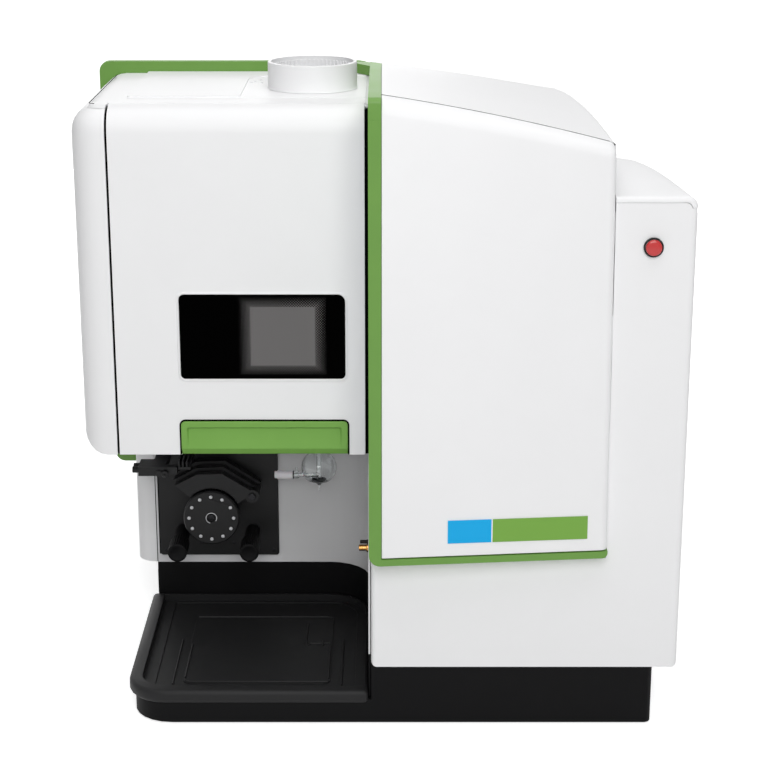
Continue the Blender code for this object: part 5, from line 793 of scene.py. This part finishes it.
def makeBayLip():
    # the pale folded lip of the sheet behind the pump, which shows at its left and below it
    lip = {"left": -0.2731, "right": -0.1190, "low": 0.0829, "step": 0.0942, "side": -0.2707, "high": 0.2183,
           "wall": -0.0700, "proud": 0.0010, "clear": 0.0001, "short": 0.0004, "edge": 0.0003}
    shadeStrip = {"leftWide": 0.0010, "leftProud": 0.0004, "rightWide": 0.0019, "rightProud": 0.0013}
    left, right, side = lip["left"], lip["right"], lip["side"]
    low, step, high, wall = lip["low"], lip["step"], lip["high"], lip["wall"]
    back, shelf = wall - lip["clear"], step - lip["short"]
    outline = [(left, low), (right, low), (right, shelf), (side, shelf), (side, high), (left, high)]
    rings = [[Vector((x, y, z)) for x, z in outline] for y in (wall - lip["proud"], back)]
    finishPiece("pumpSheetLip", ringsMesh("pumpSheetLip", rings, True, False), "paleSheet", "instrument",
                edge=lip["edge"])
    # near-black strips on both sides of the lip: painted shade in the gaps beside it
    strips = [((left - shadeStrip["leftWide"], wall - shadeStrip["leftProud"], low), (left, back, high)),
              ((side, wall - shadeStrip["rightProud"], step), (side + shadeStrip["rightWide"], back, high))]
    addBlocks("pumpSheetShade", strips, "gapShade", "instrument")


def makeSprayChamber():
    # the blown bulb with its centre tube, ground foot and drain needle
    bulb = {"middle": 0.2262, "start": -45, "end": 78, "steps": 28, "wall": 0.0009, "neck": 0.0043,
            "drain": 0.0016, "base": 0.0060, "baseEdge": 0.0052, "well": 0.0040}
    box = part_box("spray_chamber")
    centre, bottom, neckTop = middleOf(box, 0, 1), box[0][2], box[1][2]
    radius = (box[1][0] - box[0][0]) / 2
    outer, inner = [arcPath((0, bulb["middle"]), reach, bulb["start"], bulb["end"], bulb["steps"])
                    for reach in (radius, radius - bulb["wall"])]
    foot, shoulder = outer[0][1], bulb["middle"] + radius
    neck, drain, well = bulb["neck"], bulb["drain"], foot - bulb["well"]
    bore = neck - bulb["wall"]
    profile = [(0, foot - bulb["base"]), (drain, foot - bulb["baseEdge"])] + outer
    profile += [(neck, shoulder), (neck, neckTop), (bore, neckTop), (bore, shoulder)] + inner[::-1]
    profile += [(drain, well), (0, well)]
    chamber = addTurned("blownBulb", profile, centre, "Z", "glass", "instrument", steps=72, sharp=80)
    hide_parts("spray_chamber")

    tube = {"radius": 0.0031, "wall": 0.0008, "lift": 0.0010, "drop": 0.004}
    outside, inside = tube["radius"], tube["radius"] - tube["wall"]
    low, high = foot + tube["lift"], neckTop - tube["drop"]
    profile = [(outside, low), (outside, high), (inside, high), (inside, low)]
    addTurned("bulbCentreTube", profile, centre, "Z", "glass", "instrument", steps=40)

    # radius, and height over the lower end of the bulb
    sanded = [(0, -0.0075), (0.0018, -0.0075), (0.0024, -0.0062), (0.0078, -0.0016),
              (0.0090, -0.0004), (0.0070, -0.0004), (0.0030, -0.0040), (0, -0.0040)]
    addTurned("bulbGroundFoot", shifted(sanded, foot), centre, "Z", "smoke", "instrument", steps=48)

    needle = {"radius": 0.0006, "tip": 0.8, "bevel": 0.0004, "drop": 0.0076}
    radius, top = needle["radius"], foot - needle["drop"]
    profile = [(0, bottom), (radius * needle["tip"], bottom), (radius, bottom + needle["bevel"]),
               (radius, top), (0, top)]
    addTurned("drainNeedle", profile, centre, "Z", "ground", "instrument", steps=20)


def makeNebuliser():
    # its body with a ring, the glass shell in a sleeve that points into the bulb, a capillary and a gas arm
    body = {"height": 0.2165, "left": -0.1232, "right": -0.1014, "radius": 0.0054, "headBevel": 0.0004,
            "head": 0.0030, "shoulder": 0.0034, "endBevel": 0.0006}
    line = (middleOf(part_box("spray_chamber"), 1)[0], body["height"])
    left, right, radius = body["left"], body["right"], body["radius"]
    profile = [(0, left), (radius * 0.72, left), (radius * 0.80, left + body["headBevel"]),
               (radius * 0.80, left + body["head"]), (radius, left + body["shoulder"]),
               (radius, right - body["endBevel"]), (radius * 0.9, right), (0, right)]
    piece = addTurned("nebuliserBody", profile, line, "X", "pale", "instrument", steps=40)
    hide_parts("nebuliser")

    ring = {"bore": 0.0030, "radius": 0.0049, "wide": 0.0012}
    start = right + ring["wide"]
    profile = [(ring["bore"], right), (ring["radius"], right), (ring["radius"], start), (ring["bore"], start)]
    addTurned("nebuliserRing", profile, line, "X", "rubber", "instrument", steps=32)

    sleeve = {"bore": 0.0036, "radius": 0.0044, "end": -0.0938, "taper": 0.0012, "lip": 0.0003}
    bore, radius, end = sleeve["bore"], sleeve["radius"], sleeve["end"]
    profile = [(bore, start), (radius, start), (radius, end - sleeve["taper"]), (bore + sleeve["lip"], end),
               (bore, end)]
    addTurned("nebuliserSleeve", profile, line, "X", "glass", "instrument", steps=40)

    shell = {"bore": 0.0018, "radius": 0.0034, "end": -0.0700, "taper": 0.002, "tip": 0.0014, "hole": 0.0009,
             "holeDeep": 0.003}
    bore, radius, end = shell["bore"], shell["radius"], shell["end"]
    profile = [(bore, start), (radius, start), (radius, end - shell["taper"]), (shell["tip"], end),
               (shell["hole"], end), (bore, end - shell["holeDeep"])]
    addTurned("nebuliserShell", profile, line, "X", "glass", "instrument", steps=40)

    capillary = {"radius": 0.0011, "tipShare": 0.5, "taper": 0.006, "drop": 0.0015}
    radius, tip = capillary["radius"], end - capillary["drop"]
    profile = [(0, right), (radius, right), (radius, end - capillary["taper"]),
               (radius * capillary["tipShare"], tip), (0, tip)]
    addTurned("nebuliserCapillary", profile, line, "X", "pale", "instrument", steps=20)

    # radius, and height over the nebuliser's line
    gasArm = {"across": -0.0968, "outline": ((0.0008, 0.0040), (0.0014, 0.0040), (0.0014, 0.0090),
                                             (0.0019, 0.0096), (0.0011, 0.0096), (0.0008, 0.0085))}
    addTurned("nebuliserGasArm", shifted(gasArm["outline"], line[1]), (gasArm["across"], line[0]), "Z",
              "glass", "instrument", steps=24)


def makeBrassTrim():
    # the black push-in plug above the brass union, and the union's ribs
    plug = {"lift": 0.0022, "outline": ((0, -0.0105), (0.0017, -0.0105), (0.0021, -0.0100), (0.0021, -0.0030),
                                        (0.0026, -0.0026), (0.0026, -0.0001), (0, -0.0001))}
    ribs = {"count": 3, "first": 0.0115, "pitch": 0.0016,
            "outline": ((0.0030, 0), (0.0039, 0.0003), (0.0039, 0.0007), (0.0030, 0.0010))}
    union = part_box("brass_fitting")
    centre, right, top = middleOf(union, 1, 2), union[1][0], union[1][2]
    addTurned("gasPlug", shifted(plug["outline"], right), (centre[0], top + plug["lift"]), "X",
              "pump", "instrument", steps=28)
    for index in range(ribs["count"]):
        start = right - ribs["first"] + index * ribs["pitch"]
        addTurned(f"unionRib{index + 1}", shifted(ribs["outline"], start), centre, "X",
                  "brass", "instrument", steps=32)


def makeTrayMarks():
    # ridges moulded in the pan's floor: open lines around the pad, a corner line and a cross at its right
    ridges = {"width": 0.0022, "rise": 0.0016, "padDrop": 0.0075, "gutterDrop": 0.0087}
    onPad = {
        "panBackRidge": [(-0.2180, -0.1305), (-0.0600, -0.1305), (-0.0565, -0.1320), (-0.0552, -0.1352)],
        "panFrontRidge": [(-0.2182, -0.3020), (-0.2172, -0.3072), (-0.2130, -0.3100), (-0.0560, -0.3100)],
        "panLeftRidge": [(-0.2182, -0.2990), (-0.2182, -0.2103)],
        "panRightRidge": [(-0.0550, -0.2150), (-0.0550, -0.3016)],
        "panCrossRidge": [(-0.0787, -0.2067), (-0.0640, -0.2067), (-0.0565, -0.2067)],
        "panCrossMark": [(-0.0640, -0.2000), (-0.0640, -0.2134)],
        "panCornerRidge": [(-0.0837, -0.1516), (-0.0837, -0.2085), (-0.0830, -0.2108), (-0.0805, -0.2120)],
    }
    inGutter = {
        "gutterLeftRidge": [(-0.2310, -0.3131), (-0.2310, -0.1951)],
        "gutterRightRidge": [(-0.0400, -0.1963), (-0.0400, -0.3169)],
    }
    profile = halfRound(ridges["width"], ridges["rise"])
    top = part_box("drip_tray")[1][2]
    for lines, drop in ((onPad, ridges["padDrop"]), (inGutter, ridges["gutterDrop"])):
        for name, path in lines.items():
            addBead(name, path, profile, onTop(top - drop), "black", "drip_tray", closed=False)


def cornersOf(name):
    node = nodes[name]
    return [node.matrix_world @ vertex.co for vertex in node.data.vertices]


def topEdge(name, nearY, within):
    # the upper edge of a node at one depth, from left to right
    best = {}
    for point in cornersOf(name):
        if abs(point.y - nearY) < within:
            key = round(point.x, 4)
            best[key] = max(point.z, best.get(key, point.z))
    return sorted(best.items())


def backEdge(name, floor, ceiling):
    # the right back edge of a leaning node: the outermost point of each centimetre of its height
    best = {}
    for point in cornersOf(name):
        if floor < point.z < ceiling:
            key = round(point.z, 2)
            if key not in best or point.x + point.y > best[key].x + best[key].y:
                best[key] = point
    return [best[key] for key in sorted(best)]


def makeRoofSeam():
    # the joint between the front panel and the roof, as a near-black strip: painted shade of the gap
    seam = {"wide": 0.0013, "proud": 0.0001, "sunk": 0.0008, "short": 0.0004, "within": 0.0003}
    low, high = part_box("top_cover")
    front, rightEnd = low[1], high[0] - seam["short"]
    path = [point for point in topEdge("top_cover", front, seam["within"]) if point[0] < rightEnd]
    middle, half = (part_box("front_panel")[1][1] + front) / 2, seam["wide"] / 2
    profile = ((-half, -seam["sunk"]), (-half, seam["proud"]), (half, seam["proud"]), (half, -seam["sunk"]))
    rings = []
    for (x, z), (nx, nz) in zip(path, sidesOf(path, False)):
        upward = -1 if nz < 0 else 1
        rings.append([Vector((x + nx * upward * out, middle + along, z + nz * upward * out))
                      for along, out in profile])
    finishPiece("roofSeamShade", ringsMesh("roofSeamShade", rings, True, False), "gapShade", "instrument")


def makePanelSeam():
    # the white joint beside the front panel, back to the roof's skirt and, below that, to the column
    seam = {"in": 0.0010, "out": 0.0004, "gap": 0.0004, "clear": 0.0003,
            "bottom": 0.2145, "top": 0.650, "skirt": 0.560}
    roof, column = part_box("top_cover")[0][1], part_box("column_cap")[0][1]
    rings = []
    for point in backEdge("front_panel", seam["bottom"], seam["top"]):
        near = point.y + seam["gap"]
        behind = roof if point.z > seam["skirt"] else column
        far = max(behind - seam["clear"], near + seam["clear"])
        inside, outside = point.x - seam["in"], point.x + seam["out"]
        rings.append([Vector((x, y, point.z)) for x, y in
                      ((inside, near), (outside, near), (outside, far), (inside, far))])
    finishPiece("panelSeam", ringsMesh("panelSeam", rings, True, False), "cover", "instrument", sharp=60)


def makeStopButton():
    # the stop button with a slightly crowned face and a rolled rim
    button = {"head": 0.003, "stem": 0.0055,
              "crown": ((0, 0), (0.3, 0.0001), (0.6, 0.0003), (0.82, 0.0006), (0.93, 0.0010), (0.985, 0.0016),
                        (1.0, 0.0024))}  # share of the radius, and fall behind the front
    low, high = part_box("stop_button")
    radius, stem, front, back = (high[0] - low[0]) / 2, button["stem"], low[1], high[1]
    headBack = front + button["head"]
    profile = [(radius * share, front + fall) for share, fall in button["crown"]]
    profile += [(radius, headBack), (stem, headBack), (stem, back), (0, back)]
    piece = addTurned("crownedButton", profile, middleOf((low, high), 0, 2), "Y", "red", "stop_button",
                      steps=64, sharp=50)
    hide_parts("stop_button")


guard = {"rings": (0.014, 0.024, 0.034, 0.044, 0.0535), "wire": 0.0008, "wireSteps": 8, "steps": 64,
         "ringLift": 0.0026, "spokeLift": 0.0010, "reach": 0.0525}


def makeFanGuard():
    # a wire guard over the fan: rings on two crossed spokes
    centre = middleOf(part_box("fan_frame"), 0, 2)
    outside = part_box("rear_panel")[1][1]
    wire = circlePath((0, guard["wire"]), guard["wire"], guard["wireSteps"])
    for index, radius in enumerate(guard["rings"]):
        addBead(f"fanGuardRing{index + 1}", circlePath(centre, radius, guard["steps"]), wire,
                onBack(outside + guard["ringLift"]), "wire", "instrument", sharp=80)
    half = guard["reach"] * math.sqrt(2)
    for index, (su, sv) in enumerate(((1, 1), (1, -1))):
        path = [(centre[0] + su * along, centre[1] + sv * along) for along in (-half, 0, half)]
        addBead(f"fanGuardSpoke{index + 1}", path, wire, onBack(outside + guard["spokeLift"]),
                "wire", "instrument", closed=False, sharp=80)


def makeBackScrews():
    # screws at the guard's corners and around the back panel
    screws = {"radius": 0.0042, "rise": 0.0024, "steps": 24, "rowHeight": 0.086,
              "row": (-0.285, -0.15, 0.0, 0.15, 0.31),
              "others": ((-0.315, 0.30), (-0.315, 0.50), (0.315, 0.20), (0.315, 0.38), (-0.20, 0.585),
                         (-0.05, 0.590), (0.20, 0.52)),
              "shares": ((0, 0), (1, 0), (1, 0.35), (0.8, 0.8), (0.5, 1), (0.42, 1), (0.38, 0.35), (0, 0.35))}
    centre = middleOf(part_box("fan_frame"), 0, 2)
    places = [(centre[0] + su * guard["reach"], centre[1] + sv * guard["reach"])
              for su in (-1, 1) for sv in (-1, 1)]
    places += [(x, screws["rowHeight"]) for x in screws["row"]] + list(screws["others"])
    addHeads("backScrew", screws, places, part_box("rear_panel")[1][1], "Y", "zinc", "instrument")


def makeInletPins():
    # the three pins in the mains inlet
    pins = {"places": ((-0.0105, -0.003), (0.0, 0.003), (0.0105, -0.003)), "halfWide": 0.0010,
            "halfHigh": 0.0022, "front": 0.0038, "back": 0.0120, "edge": 0.0003}
    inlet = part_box("mains_inlet")
    middle = middleOf(inlet, 0, 2)
    boxes = []
    for across, up in pins["places"]:
        x, z = middle[0] + across, middle[1] + up
        boxes.append(((x - pins["halfWide"], inlet[0][1] + pins["front"], z - pins["halfHigh"]),
                      (x + pins["halfWide"], inlet[1][1] - pins["back"], z + pins["halfHigh"])))
    addBlocks("inletPins", boxes, "brass", "instrument", edge=pins["edge"])


makeHandle()
makeHandleGapShade()
makeWindowTrim()
makeDoorGapShades()
makeHousingJoint()
makeCollarGrille()
makeRecessScrews()
makeRotorTrim()
makeKnobs()
makePumpPlateTrim()
makeBayLip()
makeSprayChamber()
makeNebuliser()
makeBrassTrim()
makeTrayMarks()
makeRoofSeam()
makePanelSeam()
makeStopButton()
makeFanGuard()
makeBackScrews()
makeInletPins()


def makeCamera():
    shot = {"place": (0.0077, -2.256, 0.978), "tilt": 73.1, "lens": 88.55, "sensor": 36}
    data = bpy.data.cameras.new("camera")
    data.lens = shot["lens"]
    data.sensor_width = shot["sensor"]
    camera = bpy.data.objects.new("camera", data)
    camera.location = shot["place"]
    camera.rotation_euler = (math.radians(shot["tilt"]), 0, 0)
    bpy.context.scene.collection.objects.link(camera)
    bpy.context.scene.camera = camera


def makeLamps():
    lamps = {
        "frontTop": {"place": (0.2, -2.9, 2.0), "size": 1.8, "power": 52},
        "overhead": {"place": (0.1, -0.3, 3.0), "size": 2.5, "power": 38},
        "behind": {"place": (-0.6, 3.0, 0.8), "size": 1.8, "power": 14},
    }
    aim = Vector((0, 0, 0.35))  # all of them point at the middle of the instrument
    for name, lamp in lamps.items():
        data = bpy.data.lights.new(name, "AREA")
        data.size = lamp["size"]
        data.energy = lamp["power"]
        light = bpy.data.objects.new(name, data)
        light.location = lamp["place"]
        light.rotation_euler = (aim - light.location).to_track_quat("-Z", "Y").to_euler()
        bpy.context.scene.collection.objects.link(light)


def seenRay(tree):
    # 1 for what the camera sees straight, in a mirror or through glass
    path = addNode(tree, "ShaderNodeLightPath")
    glossy = addNode(tree, "ShaderNodeMath", {"operation": "MAXIMUM"},
                     {0: path.outputs["Is Camera Ray"], 1: path.outputs["Is Glossy Ray"]})
    every = addNode(tree, "ShaderNodeMath", {"operation": "MAXIMUM"},
                    {0: glossy.outputs[0], 1: path.outputs["Is Transmission Ray"]})
    return every.outputs[0]


def makeWorld():
    # a weak even fill, and plain white wherever the background itself is seen
    light = {"fill": 0.16, "seen": 1.0}
    world = bpy.data.worlds.new("studio")
    bpy.context.scene.world = world
    world.use_nodes = True
    tree = world.node_tree
    tree.nodes.clear()
    fill = addNode(tree, "ShaderNodeBackground", {"Color": (1, 1, 1, 1), "Strength": light["fill"]})
    white = addNode(tree, "ShaderNodeBackground", {"Color": (1, 1, 1, 1), "Strength": light["seen"]})
    mix = addNode(tree, "ShaderNodeMixShader", {},
                  {0: seenRay(tree), 1: fill.outputs[0], 2: white.outputs[0]})
    addNode(tree, "ShaderNodeOutputWorld", {}, {"Surface": mix.outputs[0]})


def makeFloor():
    # a pale floor that keeps the shadows near the part and goes white away from it
    look = {"colour": "#f0f0f0", "near": 0.55, "far": 1.3, "nearLift": 0.68, "farLift": 1.1, "size": 40}
    size = look["size"]
    corners = [(-size, -size, 0), (size, -size, 0), (size, size, 0), (-size, size, 0)]
    mesh = bpy.data.meshes.new("floor")
    mesh.from_pydata(corners, [], [(0, 1, 2, 3)])
    floor = bpy.data.objects.new("floor", mesh)
    bpy.context.scene.collection.objects.link(floor)
    surface = {"Base Color": hexColour(look["colour"]), "Roughness": 0.9, "Specular IOR Level": 0.0,
               "Emission Color": (1, 1, 1, 1)}
    material, tree, shader, where = newMaterial("paleFloor", surface)
    away = addNode(tree, "ShaderNodeVectorMath", {"operation": "LENGTH"}, {0: where})
    glow = addNode(tree, "ShaderNodeMapRange", {"From Min": look["near"], "From Max": look["far"],
                                                "To Min": look["nearLift"], "To Max": look["farLift"]},
                   {"Value": away.outputs["Value"]})
    lift = addNode(tree, "ShaderNodeMath", {"operation": "MULTIPLY"},
                   {0: seenRay(tree), 1: glow.outputs["Result"]})
    tree.links.new(lift.outputs[0], shader.inputs["Emission Strength"])
    mesh.materials.append(material)


makeCamera()
makeLamps()
makeWorld()
makeFloor()
bpy.context.scene.view_settings.view_transform = "Standard"
print("studio ready")
